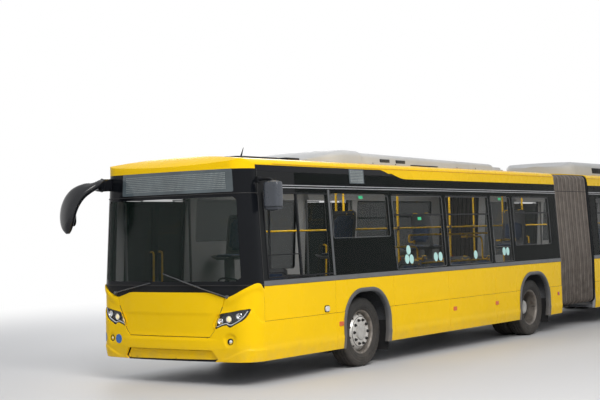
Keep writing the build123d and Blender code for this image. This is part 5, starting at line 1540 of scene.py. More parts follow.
def pod_mesh(shape, rings):
    """Skin over a pod's rings with both ends closed."""
    n = len(rings[0])
    verts = [p for ring in rings for p in ring]
    faces = []
    for r in range(len(rings) - 1):
        for i in range(n - 1):
            faces.append([r * n + i, r * n + i + 1, (r + 1) * n + i + 1, (r + 1) * n + i])
    faces.append(list(range(n))[::-1])
    faces.append([(len(rings) - 1) * n + i for i in range(n)])
    shape.add(verts, faces)


POD_HALF, POD_SHOULDER, POD_TOP, POD_LOW, POD_REAR_TOP = 0.758, 3.05, 3.050, 2.895, 2.985


def front_half(y):
    """Half-width of the front pod at a station."""
    half = POD_HALF
    if y < POD_SHOULDER:
        half = POD_HALF * math.sqrt(max(0.0, 1 - max(0.0, (POD_SHOULDER - y) / 0.46) ** 2.6))
    half -= 0.048 * smooth(y, 3.42, 3.62)
    half -= 0.05 * smooth(y, 7.72, 7.876) ** 2
    return max(half, 0.12)


def front_top(y):
    """Height of the front pod at a station."""
    rise = math.sin(math.pi / 2 * min(1.0, max(0.0, (y - 2.60) / 0.52))) ** 0.85
    low = POD_LOW + (POD_TOP - POD_LOW) * rise
    long_line = POD_TOP + (POD_REAR_TOP - POD_TOP) * (y - 3.17) / (7.79 - 3.17) if y > 3.17 else POD_TOP
    top = min(low, long_line) - 0.016 * smooth(y, 3.40, 3.66)
    top = top - 0.075 * smooth(y, 7.70, 7.876) ** 1.5
    return top


pod = Shape()
stations = [y for run in ((2.602, 3.12, 18), (3.18, 3.72, 16), (3.9, 7.6, 16), (7.66, 7.874, 12))
            for y in np.linspace(*run)]
pod_mesh(pod, pod_sections(stations, front_half, front_top))
piece = pod.place("roof_pod_front_shell", white_paint, "front_car", 50, "paint_white")
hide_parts("roof_pod_front")
vents = Shape()
slats = Shape()
for side in (1, -1):
    for y, long, z0, z1 in ((4.06, 0.27, 2.895, 2.944), (4.52, 0.27, 2.893, 2.940)):
        x0, x1 = sorted((side * 0.690, side * 0.7085))
        box_shape(vents, (x0, at(y), z0), (x1, at(y + long), z1), 0.006)
        for k in range(3):
            z = z0 + 0.010 + 0.013 * k
            x0, x1 = sorted((side * 0.704, side * 0.7115))
            box_shape(slats, (x0, at(y + 0.008), z), (x1, at(y + long - 0.008), z + 0.0045), 0.0015)
    x0, x1 = sorted((side * 0.690, side * 0.712))
    box_shape(vents, (x0, at(4.95), roof_z(0.71) - 0.006), (x1, at(5.78), roof_z(0.71) + 0.020), 0.004)
vents.place("roof_pod_vents", black_plastic, "front_car", 40, "trim")
slats.place("roof_pod_slats", grey_plastic, "front_car", 40, "trim")
bolts = Shape()
for side in (1, -1):
    for y in np.arange(3.85, 7.75, 0.65):
        lathe(bolts, [(0.0, 0.011), (0.004, 0.010), (0.005, 0.0)], (side * 0.7095, at(y), 2.875),
              (side, 0, 0), 10)
for y in (4.9, 5.9, 6.9):
    line = [Vector((x, at(y), front_top(y) + 0.0112 - 0.010 * (x / 0.60) ** 2))
            for x in np.linspace(-0.58, 0.58, 16)]
    tube(bolts, line, 0.004, 6, 0.5)
bolts.place("roof_pod_bolts", grey_plastic, "front_car", 40, "trim")

POD_START, POD_END = REAR_START + 0.259, LENGTH - 2.490


def rear_half(y):
    """Half-width of the rear pod at a station."""
    half = POD_HALF
    if y < POD_START + 0.30:
        half = POD_HALF * math.sqrt(max(0.0, 1 - max(0.0, (POD_START + 0.30 - y) / 0.31) ** 3.2))
    return max(half - 0.10 * smooth(y, POD_END - 0.30, POD_END) ** 2, 0.2)


def rear_top(y):
    """Height of the rear pod at a station."""
    low = 3.045 + 0.075 * smooth(y, POD_START, POD_START + 0.22)
    return low - 0.170 * smooth(y, POD_END - 0.32, POD_END)


pod = Shape()
stations = list(POD_START + 0.002 + np.linspace(0, 0.34, 14))
stations += list(np.linspace(POD_START + 0.5, POD_END - 0.4, 14))
stations += list(np.linspace(POD_END - 0.33, POD_END - 0.003, 12))
pod_mesh(pod, pod_sections(stations, rear_half, lambda y: rear_top(y) - 0.010))
piece = pod.place("roof_pod_rear_shell", white_paint, "rear_car", 50, "paint_white")
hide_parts("roof_pod_rear")
grilles = Shape()
for side in (1, -1):
    for y in (12.0, 13.2):
        x0, x1 = sorted((side * 0.735, side * 0.7555))
        box_shape(grilles, (x0, at(y), 2.895), (x1, at(y + 0.75), 3.005), 0.008)
        for k in range(6):
            z = 2.905 + 0.016 * k
            x0, x1 = sorted((side * 0.750, side * 0.7595))
            box_shape(grilles, (x0, at(y + 0.012), z), (x1, at(y + 0.738), z + 0.006), 0.002)
for k in range(2):
    y = 12.35 + 1.3 * k
    lathe(grilles, [(0.0, 0.27), (0.012, 0.268), (0.014, 0.25), (0.006, 0.24), (0.006, 0.06),
                    (0.014, 0.055), (0.014, 0.0)], (0, at(y), rear_top(y) - 0.015), (0, 0, 1), 48)
    for j in range(7):
        a = math.pi * j / 7
        dx, dy = 0.245 * math.cos(a), 0.245 * math.sin(a)
        tube(grilles, [(-dx, at(y) - dy, rear_top(y) - 0.005), (dx, at(y) + dy, rear_top(y) - 0.005)],
             0.003, 6)
grilles.place("roof_pod_grilles", black_plastic, "rear_car", 40, "trim")


# Mirrors: a swept arm with its drooping head on the right, a short housing on the left
def sweep(shape, sections, sides=28):
    """Skin through sections given as centre, width direction, half-width, half-depth and exponent."""
    rings = []
    for i, (centre, wide, half_wide, half_deep, power) in enumerate(sections):
        centre, wide = Vector(centre), Vector(wide).normalized()
        ahead = Vector(sections[min(i + 1, len(sections) - 1)][0]) - Vector(sections[max(i - 1, 0)][0])
        deep = wide.cross(ahead).normalized()
        wide = ahead.cross(deep).normalized()
        ring = []
        for k in range(sides):
            a = 2 * math.pi * k / sides
            c, s = math.cos(a), math.sin(a)
            u = math.copysign(abs(c) ** (2 / power), c) * half_wide
            v = math.copysign(abs(s) ** (2 / power), s) * half_deep
            ring.append(centre + wide * u + deep * v)
        rings.append(ring)
    verts = [p for ring in rings for p in ring]
    shape.add(verts, ring_faces(len(rings), sides, caps=True))
    return rings


# middle line of the arm and of its head, with the half-width and the half-depth at each point
arm_centres = [Vector((-1.130, at(0.335), 2.568)), Vector((-1.085, at(0.200), 2.574)),
               Vector((-1.055, at(0.060), 2.572)), Vector((-1.045, at(-0.060), 2.566)),
               Vector((-1.062, at(-0.160), 2.556)), Vector((-1.100, at(-0.245), 2.533)),
               Vector((-1.160, at(-0.312), 2.490)), Vector((-1.232, at(-0.350), 2.430)),
               Vector((-1.292, at(-0.372), 2.352)), Vector((-1.330, at(-0.388), 2.262)),
               Vector((-1.348, at(-0.398), 2.160)), Vector((-1.350, at(-0.404), 2.060)),
               Vector((-1.338, at(-0.408), 1.985)), Vector((-1.334, at(-0.410), 1.940))]
arm_wide = [0.084, 0.084, 0.084, 0.084, 0.083, 0.085, 0.105, 0.135, 0.158, 0.168, 0.162, 0.135, 0.085,
            0.030]
arm_deep = [0.055, 0.055, 0.055, 0.055, 0.055, 0.056, 0.060, 0.066, 0.072, 0.075, 0.073, 0.064, 0.045,
            0.020]
sections = []
for i, centre in enumerate(arm_centres):
    ahead = arm_centres[min(i + 1, len(arm_centres) - 1)] - arm_centres[max(i - 1, 0)]
    # the wide direction lies in the plane of the bend
    plane = Vector((0.35, 1.0, 0.0)).normalized()
    wide = ahead.normalized().cross(plane)
    sections.append((centre, wide, arm_wide[i], arm_deep[i], 2.6))
arm = Shape()
fine = []
for (c0, w0, a0, d0, _), (c1, w1, a1, d1, _) in zip(sections, sections[1:]):
    for t in (0.0, 0.25, 0.5, 0.75):
        fine.append((c0.lerp(c1, t), w0.normalized().lerp(w1.normalized(), t), a0 + (a1 - a0) * t,
                     d0 + (d1 - d0) * t, 2.6))
fine.append(sections[-1])
for _ in range(3):
    fine = [fine[0]] + [((a[0] + b[0] * 2 + c[0]) / 4, (a[1] + b[1] * 2 + c[1]) / 4,
                         (a[2] + 2 * b[2] + c[2]) / 4, (a[3] + 2 * b[3] + c[3]) / 4, 2.6) for a, b,
                        c in zip(fine, fine[1:], fine[2:])] + [fine[-1]]
arm_rings = sweep(arm, fine, 32)
piece = arm.place("right_mirror_arm", gloss_black, "front_car", 50, "trim")
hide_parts("mirrors")
root = Shape()
for t, grow in ((12, 1.035), (0, 1.05)):
    ring_line = [fine[t][0] + (p - fine[t][0]) * grow for p in arm_rings[t]]
    tube(root, ring_line + [ring_line[0]], 0.004, 6)
root.place("right_mirror_joints", black_plastic, "front_car", 50, "trim")
# raised ridge along the head and the glass that faces rearward
ridge = Shape()
line = []
for ring in arm_rings[20:-2]:
    line.append(ring[11].lerp(ring[10], 0.5))
tube(ridge, line, [0.003] + [0.008] * (len(line) - 2) + [0.003], 8)
ridge.place("right_mirror_ridge", gloss_black, "front_car", 60, "trim")

mirror_face = finish_of("mirror_face", (0.62, 0.65, 0.68), 0.05, metal=1.0, vary=0.03, rough_vary=0.01)


def mirror_sheet(shape, centre, normal, wide, tall, radius=0.05):
    """Mirror glass on a face of a housing."""
    centre, normal = Vector(centre), Vector(normal).normalized()
    across_way = normal.cross(Vector((0, 0, 1))).normalized()
    up_way = across_way.cross(normal)

    def surface(u, v, out):
        return centre + across_way * u + up_way * v + normal * (out - 0.03 * (u * u + v * v))

    panel(shape, surface, rounded(-wide / 2, -tall / 2, wide / 2, tall / 2, radius, 6), out=0, thick=0.004,
          rim=0.0012, step=0.04)


def mirror_case(shape, centre, half, power=5.0, rows=18, sides=48):
    """Rounded housing about a centre."""
    verts = []
    for r in range(rows + 1):
        t = -1 + 2 * r / rows
        z = half[2] * t
        shrink = max(0.02, (1 - abs(t) ** power) ** (1 / power))
        for k in range(sides):
            a = 2 * math.pi * k / sides
            c, s = math.cos(a), math.sin(a)
            u = math.copysign(abs(c) ** (2 / 4.0), c) * half[0] * (0.4 + 0.6 * shrink) * (
                1 if shrink > 0.03 else 0.6)
            v = math.copysign(abs(s) ** (2 / 4.0), s) * half[1] * (0.3 + 0.7 * shrink)
            verts.append((centre[0] + u, centre[1] + v, centre[2] + z))
    shape.add(verts, ring_faces(rows + 1, sides, caps=True))


case = Shape()
mirror_case(case, (1.417, at(0.400), 2.345), (0.118, 0.074, 0.188))
case.place("left_mirror_case", finish_of("mirror_grey", (0.055, 0.062, 0.075), 0.30, spec=0.35, coat=0.1,
                                         vary=0.1, grain=0.15, grain_scale=500), "front_car", 45, "trim")
lip = Shape()
tube(lip, [(1.415 + 0.119 * math.copysign(abs(math.cos(a)) ** 0.5, math.cos(a)),
            at(0.400) + 0.077 * math.copysign(abs(math.sin(a)) ** 0.5, math.sin(a)), 2.205)
           for a in np.linspace(0, 2 * math.pi, 49)], 0.0045, 6)
bracket = soft_line([(1.185, at(0.400), 2.545), (1.300, at(0.400), 2.556), (1.400, at(0.400), 2.546),
                     (1.420, at(0.400), 2.500)], 3)
tube(lip, bracket, 0.017, 12)
box_shape(lip, (1.150, at(0.355), 2.515), (1.215, at(0.445), 2.590), 0.010)
lip.place("left_mirror_bracket", black_plastic, "front_car", 45, "trim")
sheets = Shape()
mirror_sheet(sheets, (1.420, at(0.477), 2.350), (0.08, 1, 0), 0.190, 0.300)
mirror_sheet(sheets, (-1.325, at(-0.325), 2.200), (0.30, 1, 0), 0.200, 0.330, 0.07)
sheets.place("mirror_glass", mirror_face, "front_car", 40, "glass")


# Wipers: arm, link and blade, parked along the screen's foot
wipers = Shape()
rubbers = Shape()
for base, tip, blade in (((0.930, 1.110), (-0.060, 1.400), 0.62), ((-0.940, 1.148), (-0.350, 1.267), 0.50)):
    b, t = Vector((*base, 0)), Vector((*tip, 0))
    way = (t - b).normalized()
    points = []
    for f in np.linspace(0, 0.70, 12):
        p = b.lerp(t, f)
        out = 0.018 + 0.022 * math.sin(math.pi * min(1, f * 1.1))
        points.append(nose(s_of(p.x), p.y, out))
    tube(wipers, points, [0.013 - 0.0006 * i for i in range(12)], 8, 0.6)
    lathe(wipers, [(-0.02, 0.024), (0.022, 0.022), (0.030, 0.016), (0.032, 0.0)],
          nose(s_of(base[0]), base[1], 0.0), nose(s_of(base[0]), base[1], 0.01)
          - nose(s_of(base[0]), base[1], 0.0), 20)
    middle = b.lerp(t, 0.70)
    ends_of = [middle - way * blade * 0.5, middle + way * blade * 0.5]
    run = [ends_of[0].lerp(ends_of[1], f) for f in np.linspace(0, 1, 14)]
    tube(wipers, [nose(s_of(p.x), p.y, 0.017) for p in run], 0.0055, 6)
    for f in (0.18, 0.5, 0.82):
        p = ends_of[0].lerp(ends_of[1], f)
        before, after = p - way * 0.05, p + way * 0.05
        tube(wipers, [nose(s_of(before.x), before.y, 0.020), nose(s_of(p.x), p.y, 0.028),
                      nose(s_of(after.x), after.y, 0.020)], 0.005, 6)
    tube(rubbers, [nose(s_of(p.x), p.y, 0.009) for p in run], 0.0045, 6, 1.6)
piece = wipers.place("wiper_arms", finish_of("wiper_grey", (0.075, 0.08, 0.088), 0.32, spec=0.5, vary=0.1),
                     "front_car", 45, "trim")
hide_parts("wipers")
rubbers.place("wiper_rubbers", rubber, "front_car", 45, "rubber")


# Doors: framed leaves with their glass, rubber edges and inner bars
LEAF_LOW, LEAF_HIGH, LEAF_BARS = 0.387, 2.360, 0.149
POST_BACK, LEAF_FIRST, LEAF_GAP = 0.040, 0.063, 0.006
ARM_LONG = (DOOR_HALF + POST_BACK - LEAF_GAP / 2) / 2
pane_middle, pane_half = (LEAF_LOW + LEAF_HIGH) / 2, (LEAF_HIGH - LEAF_LOW - LEAF_BARS) / 2
for number, centre in enumerate(DOORS, 1):
    for hand, letter in ((1, "a"), (-1, "b")):
        post = centre - hand * (DOOR_HALF + POST_BACK)
        y0, y1 = sorted((post + hand * LEAF_FIRST, post + hand * 2 * ARM_LONG))
        body = f"door_{number}_leaf_{letter}"
        paint_node(body, band)
        pane = Shape()
        low, high = pane_middle - pane_half, pane_middle + pane_half
        panel(pane, right, rounded(y0 + 0.050, low - 0.012, y1 - 0.050, high + 0.012, 0.05, 5), out=0.001,
              thick=0.004, rim=0.001, step=0.5, edge_step=0.12)
        panel(pane, right, rounded(y0 + 0.056, low - 0.006, y1 - 0.056, high + 0.006, 0.05, 5), out=-0.030,
              thick=-0.026, rim=0.001, step=0.5, edge_step=0.12)
        pane.place(f"{body}_glass", glass, body, 40, "glass")
        edge = Shape()
        meeting, hinged = (y1, y0) if hand == 1 else (y0, y1)
        for y, width_of in ((meeting - hand * 0.004, 0.010), (hinged + hand * 0.004, 0.007)):
            line = [right(y, z, -0.012) for z in np.linspace(LEAF_LOW + 0.004, LEAF_HIGH - 0.004, 20)]
            tube(edge, line, width_of, 8, up=(0, 1, 0))
        line = [right(y, LEAF_LOW + 0.0100, -0.0045) for y in np.linspace(y0 + 0.01, y1 - 0.01, 6)]
        tube(edge, line, 0.009, 8)
        edge.place(f"{body}_rubber", rubber, body, 50, "rubber")
        bar = Shape()
        y = meeting - hand * 0.085
        grip = soft_line([right(y, 0.98, -0.040), right(y, 0.98, -0.085), right(y, 1.02, -0.100),
                          right(y, 1.62, -0.100), right(y, 1.66, -0.085), right(y, 1.66, -0.040)], 2)
        tube(bar, grip, 0.0145, 10, up=(0, 1, 0))
        bar.place(f"{body}_grip", rail_yellow, body, 60, "rail")
        paint_node(f"door_{number}_arm_{letter}", grey_plastic)

# frames round the doorways with a guide lamp above
for number, centre in enumerate(DOORS, 1):
    body = "rear_car" if centre > FRONT_END else "front_car"
    jambs = Shape()
    for y in (centre - DOOR_HALF - 0.001, centre + DOOR_HALF + 0.001):
        line = [right(y, z, 0.003) for z in np.linspace(SKIRT_Z + 0.03, 2.44, 26)]
        tube(jambs, line, 0.008, 8, up=(0, 1, 0))
    tube(jambs, [right(y, 2.402, 0.003) for y in np.linspace(centre - DOOR_HALF, centre + DOOR_HALF, 12)],
         0.008, 8)
    jambs.place(f"door_{number}_jambs", rubber, body, 50, "rubber")
    head = Shape()
    panel(head, right, rounded(centre - DOOR_HALF - 0.03, 2.412, centre + DOOR_HALF + 0.03, 2.655, 0.012,
                               3), out=0.0035, thick=0.0025, rim=0.0008, step=0.4, edge_step=0.2)
    head.place(f"door_{number}_head_glass", band, body, 40, "black_band")
    sill = Shape()
    start, end, foot = centre - DOOR_HALF - 0.004, centre + DOOR_HALF + 0.004, SKIRT_Z + 0.002
    panel(sill, right, [(start, foot), (end, foot), (end, 0.339), (start, 0.339)], out=0.004, thick=0.03,
          rim=0.002, step=0.2, edge_step=0.1)
    sill.place(f"door_{number}_sill", paint, body, 40, "paint_yellow")
    lamp_case = Shape()
    panel(lamp_case, right, rounded(centre - 0.06, 2.520, centre + 0.06, 2.560, 0.018, 4), out=0.014,
          thick=0.012, rim=0.004, step=0.03)
    lamp_case.place(f"door_{number}_lamp", clear_lens, body, 45, "lamp")

# Tail: painted shell round the window, the lid and the lamps
TAIL_PHI = math.asin((HALF - TAIL_CORNER) / (TAIL_BOW - TAIL_CORNER))
TAIL_END = TAIL_BOW * TAIL_PHI + TAIL_CORNER * (math.pi / 2 - TAIL_PHI) + 0.062
LID_HALF, LID_LOW, LID_HIGH = 0.860, 0.480, 1.330
REAR_PANE = (0.960, 1.620, 2.300)
TAIL_LAMPS = ((1.090, 0.560, 0.075, "clear"), (1.090, 0.760, 0.075, "amber"), (1.090, 0.960, 0.075, "red"),
              (1.090, 1.160, 0.075, "red"), (1.060, 2.560, 0.045, "red"))
tail_holes = [rounded(-LID_HALF, LID_LOW, LID_HALF, LID_HIGH, 0.060),
              rounded(-REAR_PANE[0], REAR_PANE[1], REAR_PANE[0], REAR_PANE[2], 0.080)]
for x, z, radius, _ in TAIL_LAMPS:
    tail_holes += [circle(x, z, radius + 0.004, 36), circle(-x, z, radius + 0.004, 36)]


def tail_relief(s, z):
    """A step above the bumper, a drip edge below the eave and corners that stand proud."""
    out = -0.004 * smooth(0.475 - z, -0.002, 0.010)
    out -= 0.004 * smooth(z, 2.612, 2.622)
    out += 0.007 * smooth(abs(s), 0.95, 1.12)
    return out


tail_shell = Shape()
panel(tail_shell, tail, [(-TAIL_END, 0.478), (TAIL_END, 0.478), (TAIL_END, 2.688), (-TAIL_END, 2.688)],
      holes=tail_holes, out=0.0, thick=0.012, rim=0.002, step=0.035, edge_step=0.02, relief=tail_relief)
piece = tail_shell.place("tail_shell", paint, "rear_car", 34, "paint_yellow")
bumper = Shape()
for s0, s1 in ((-TAIL_END, -0.702), (-0.698, 0.698), (0.702, TAIL_END)):
    panel(bumper, tail, [(s0, 0.312), (s1, 0.312), (s1, 0.472), (s0, 0.472)], out=0.002, thick=0.02,
          rim=0.004, step=0.04, relief=lambda s, z: 0.007 * smooth(abs(s), 0.95, 1.12) - 0.006
          * smooth(z, 0.43, 0.47) - 0.006 * smooth(0.345 - z, 0, 0.03))
bumper.place("tail_bumper", grey_plastic, "rear_car", 35, "trim")
reflectors = Shape()
for side in (1, -1):
    panel(reflectors, tail, rounded(side * 0.90 - 0.055, 0.375, side * 0.90 + 0.055, 0.415, 0.008),
          out=0.005, thick=0.006, rim=0.002, step=0.05)
panel(reflectors, tail, rounded(-0.17, 2.335, 0.17, 2.362, 0.010), out=0.003, thick=0.01, rim=0.003,
      step=0.05)
reflectors.place("tail_reflectors", red_lens, "rear_car", 40, "tail_lamp")
trim_lines = Shape()
panel(trim_lines, tail, rounded(-0.98, 1.600, 0.98, 2.320, 0.095),
      holes=(rounded(-0.925, 1.655, 0.925, 2.265, 0.06),), out=0.0035, thick=0.008, rim=0.002, step=0.06,
      edge_step=0.03)
panel(trim_lines, tail, rounded(-0.46, 2.395, 0.46, 2.585, 0.02),
      holes=(rounded(-0.43, 2.42, 0.43, 2.56, 0.01),), out=0.0035, thick=0.012, rim=0.003, step=0.06,
      edge_step=0.03)
panel(trim_lines, tail, rounded(-0.27, 0.335, 0.27, 0.455, 0.010), out=0.0035, thick=0.01, rim=0.003,
      step=0.05)
trim_lines.place("tail_frames", black_plastic, "rear_car", 40, "trim")
rear_sign = Shape()
panel(rear_sign, tail, rounded(-0.43, 2.42, 0.43, 2.56, 0.01), out=0.002, thick=0.004, rim=0.001, step=0.1)
rear_sign.place("rear_sign_glass", sign_glass, "rear_car", 40, "glass")
blank = Shape()
panel(blank, tail, rounded(-0.255, 0.345, 0.255, 0.445, 0.008), out=0.0045, thick=0.002, rim=0.0006,
      step=0.05)
blank.place("blank_plate", finish_of("plate_white", (0.62, 0.62, 0.60), 0.35, vary=0.04), "rear_car", 40,
            "trim")

lamp_finish = {"clear": clear_lens, "amber": amber, "red": red_lens}
lamp_shapes = {kind: Shape() for kind in lamp_finish}
bezels = Shape()
for x, z, radius, kind in TAIL_LAMPS:
    for side in (1, -1):
        centre = tail(side * x, z, -0.004)
        axis = (tail(side * x, z, 0.01) - tail(side * x, z, 0.0)).normalized()
        lathe(bezels, [(-0.030, radius + 0.003), (0.002, radius + 0.003), (0.005, radius),
                       (0.004, radius - 0.007), (-0.004, radius - 0.009)], centre, axis, 44)
        rings = [(-0.004, radius - 0.008), (0.001, radius - 0.010)]
        for k in range(6):
            r = (radius - 0.012) * (1 - k / 6)
            rings += [(0.0035 + 0.0007 * k, r), (0.0022 + 0.0007 * k, r - 0.004)]
        lathe(lamp_shapes[kind], rings + [(0.0065, 0.0)], centre, axis, 44)
bezels.place("tail_lamp_bezels", gloss_black, "rear_car", 45, "trim")
for kind, shape in lamp_shapes.items():
    piece = shape.place(f"tail_lamp_{kind}", lamp_finish[kind], "rear_car", 50, "tail_lamp")
    if kind == "red":
        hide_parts("tail_lamps")

# engine lid: pressed panel with a field of louvres, a lock and two grips
lid = Shape()
louvre = rounded(-0.70, 0.930, 0.70, 1.235, 0.03)
lid_gap = 0.0045
panel(lid, tail, rounded(-LID_HALF + lid_gap, LID_LOW + lid_gap, LID_HALF - lid_gap, LID_HIGH - lid_gap,
                         0.056), holes=(louvre,), out=0.0, thick=0.020, rim=0.003, step=0.03,
      edge_step=0.02, back=True, relief=lambda s, z: -0.006
      * (1 - smooth(max(abs(s) / 0.74, abs(z - 0.715) / 0.165), 0.93, 1.0)))
piece = lid.place("lid_shell", paint, "engine_lid", 32, "paint_yellow")
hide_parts("engine_lid")
louvres = Shape()
panel(louvres, tail, inset(louvre, -0.008), out=-0.014, thick=0.004, step=0.1)
for k in range(9):
    z = 0.950 + k * 0.0325
    rows = []
    for s in np.linspace(-0.695, 0.695, 40):
        rows.append([tail(s, z, -0.012), tail(s, z + 0.008, -0.001), tail(s, z + 0.012, 0.0),
                     tail(s, z + 0.012, -0.003), tail(s, z + 0.004, -0.013)])
    louvres.add([p for row in rows for p in row], ring_faces(len(rows), 5, caps=True))
louvres.place("lid_louvres", black_plastic, "engine_lid", 40, "trim")
grips = Shape()
for side in (1, -1):
    panel(grips, tail, rounded(side * 0.55 - 0.06, 0.505, side * 0.55 + 0.06, 0.530, 0.010), out=0.001,
          thick=0.01, rim=0.003, step=0.04)
lathe(grips, [(-0.01, 0.018), (0.001, 0.018), (0.003, 0.015), (0.001, 0.009), (0.0, 0.0)],
      tail(0, 0.52, 0.0), (0, 1, 0), 24)
grips.place("lid_grips", black_plastic, "engine_lid", 45, "trim")

# Cab: dashboard with its cluster and the steering wheel, partition behind the driver
DASH_START, DASH_FOOT, DRIVER_X = 0.206, 0.38, 0.62
dash = Shape()
dash_line = [(0.206, 0.380), (0.322, 0.380), (0.338, 0.790), (0.372, 0.845), (0.535, 0.990), (0.556, 1.020),
             (0.545, 1.062), (0.516, 1.118), (0.470, 1.140), (0.330, 1.166), (0.215, 1.184), (0.206, 1.176)]
dash_stations = [-0.418, -0.40, -0.36] + list(np.linspace(-0.30, 1.02, 24)) + [1.06, 1.076]
verts = []
for x in dash_stations:
    edge = min(1.0, (x + 0.418) / 0.05, (1.076 - x) / 0.03)
    wrap = 0.035 * (1 - smooth(abs(x - DRIVER_X), 0.28, 0.52))
    for y, z in dash_line:
        pull = 0.97 + 0.03 * edge
        dip = wrap * smooth(z, 0.9, 1.1) * smooth(y, 0.36, 0.52)
        back = DASH_START + (y - DASH_START) * pull - dip * 0.8
        verts.append((x, at(back), DASH_FOOT + (z - DASH_FOOT) * pull + dip * 0.1))
dash.add(verts, ring_faces(len(dash_stations), len(dash_line), caps=True))
hood = [(x, at(0.452 - 0.02 * math.cos(3 * (x - DRIVER_X))), 1.186 + 0.026 * math.cos(3.2 * (x - DRIVER_X)))
        for x in np.linspace(0.38, 0.86, 22)]
tube(dash, hood, 0.014, 10, 0.7)
box_shape(dash, (-0.30, at(0.40), 1.150), (-0.06, at(0.46), 1.188), 0.01)
box_shape(dash, (0.10, at(0.36), 1.160), (0.24, at(0.45), 1.187), 0.008)
piece = dash.place("dash_shell", black_plastic, "front_car", 32, "trim")
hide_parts("dashboard")
dials = Shape()
way = Vector((0, 0.55, 0.835)).normalized()
for x, radius in ((0.515, 0.052), (0.725, 0.052), (0.62, 0.030)):
    lathe(dials, [(-0.004, radius), (0.008, radius), (0.009, radius * 0.92), (0.003, radius * 0.88),
                  (0.003, 0.0)], (x, at(0.478), 1.130), way, 30)
for k in range(7):
    box_shape(dials, (0.30 - 0.026 * k, at(0.500), 1.060), (0.319 - 0.026 * k, at(0.530), 1.100), 0.003)
dials.place("dash_dials", grey_plastic, "front_car", 45, "trim")
wheel_axis = Vector((0, 0.42, 0.91)).normalized()
wheel_centre = Vector((DRIVER_X, at(0.5 + 0.42 * 0.235), 1.02 + 0.91 * 0.235))
first = Vector((1, 0, 0))
second = wheel_axis.cross(first)
steer = Shape()
verts = []
for k in range(56):
    a = 2 * math.pi * k / 56
    out = first * math.cos(a) + second * math.sin(a)
    for j in range(10):
        b = 2 * math.pi * j / 10
        verts.append(wheel_centre + out * (0.212 + 0.012 * math.cos(b)) + wheel_axis * 0.013 * math.sin(b))
faces = [[(k * 10 + j), (k * 10 + (j + 1) % 10), ((k + 1) % 56) * 10 + (j + 1) % 10, ((k + 1) % 56) * 10
          + j] for k in range(56) for j in range(10)]
steer.add(verts, faces)
for a in (math.radians(-18), math.radians(198), math.radians(-90)):
    out = first * math.cos(a) + second * math.sin(a)
    tube(steer, [wheel_centre + out * 0.045 - wheel_axis * 0.010, wheel_centre + out * 0.13 - wheel_axis
                 * 0.006, wheel_centre + out * 0.208], [0.020, 0.014, 0.011], 10, 0.5, up=wheel_axis)
lathe(steer, [(-0.055, 0.030), (-0.040, 0.055), (-0.014, 0.068), (0.0, 0.060), (0.006, 0.040),
              (0.008, 0.0)], wheel_centre, wheel_axis, 36)
tube(steer, [wheel_centre - wheel_axis * 0.235, wheel_centre - wheel_axis * 0.13, wheel_centre - wheel_axis
             * 0.05], [0.042, 0.036, 0.028], 16)
steer.place("steering_wheel", black_plastic, "front_car", 45, "trim")
wall = Shape()
box_shape(wall, (0.40, at(1.640), 0.368), (1.16, at(1.662), 1.32), 0.008)
box_shape(wall, (0.392, at(1.02), 0.368), (0.412, at(1.662), 1.05), 0.008)
tube(wall, [(0.402, at(1.651), 1.30), (0.402, at(1.651), 2.30)], 0.017, 12)
wall.place("cab_partition", seat_shell, "front_car", 40, "trim")

# Rails: painted tubes with their sockets and stop buttons
FRONT_POSTS = ((0.3, (3.450, 5.200, 6.900, 8.900)), (-0.3, (2.000, 4.550, 6.200, 8.900)))
REAR_POSTS = ((0.3, (10.950, 12.600, 14.000, 15.400)), (-0.3, (10.950, 12.200, 13.700, 15.400)))


def ceiling_at(x):
    """Height of the ceiling over a place across the bus."""
    return 2.690 + 0.085 * (1 - (x / 1.1) ** 2)


for name, table in (("front", FRONT_POSTS), ("rear", REAR_POSTS)):
    body = f"{name}_car"
    fittings, buttons = Shape(), Shape()
    for x, stations in table:
        for y in stations:
            lathe(fittings, [(0.0, 0.036), (0.006, 0.036), (0.012, 0.026), (0.040, 0.0205)],
                  (x, at(y), 0.364), (0, 0, 1), 20)
            lathe(fittings, [(-0.03, 0.0205), (0.0, 0.024), (0.03, 0.0205)], (x, at(y), 1.9), (0, 0, 1), 16)
            box_shape(buttons, (x - 0.024, at(y) + 0.014, 1.33), (x + 0.024, at(y) + 0.034, 1.42), 0.008)
            lathe(buttons, [(0.0, 0.015), (0.004, 0.014), (0.005, 0.0)], (x, at(y) + 0.033, 1.375),
                  (0, 1, 0), 16)
    fittings.place(f"rail_sockets_{name}", seat_shell, body, 45, "trim")
    buttons.place(f"stop_buttons_{name}", red_lens, body, 40, "trim")
    paint_node(f"rails_{name}", rail_yellow)

# Seats: moulded shells on pedestals with sewn pads
FRONT_SEATS = ((0.62, 1.0, 0.36, 1), (0.93, 2.23, 1.12, 1), (-0.93, 2.23, 1.12, 1), (0.99, 3.9, 0.36, 1),
               (0.54, 3.9, 0.36, 1), (0.99, 4.7, 0.36, 1), (0.54, 4.7, 0.36, 1), (0.99, 6.3, 0.36, 1),
               (0.54, 6.3, 0.36, 1), (-0.99, 6.8, 0.36, 1), (-0.54, 6.8, 0.36, 1), (0.93, 7.6, 1.12, 1),
               (-0.93, 7.6, 1.12, 1), (0.93, 8.5, 1.12, -1), (-0.93, 8.5, 1.12, -1))
REAR_SEATS = ((0.99, 11.3, 0.36, 1), (0.54, 11.3, 0.36, 1), (0.99, 12.1, 0.36, 1), (0.54, 12.1, 0.36, 1),
              (0.99, 13.5, 0.36, 1), (0.54, 13.5, 0.36, 1), (0.93, 14.35, 1.12, 1), (-0.93, 14.35, 1.12, 1),
              (0.93, 15.25, 1.12, -1), (-0.93, 15.25, 1.12, -1), (0.93, 16.05, 0.8, 1),
              (0.465, 16.05, 0.8, 1), (0.0, 16.05, 0.8, 1), (-0.465, 16.05, 0.8, 1), (-0.93, 16.05, 0.8, 1))
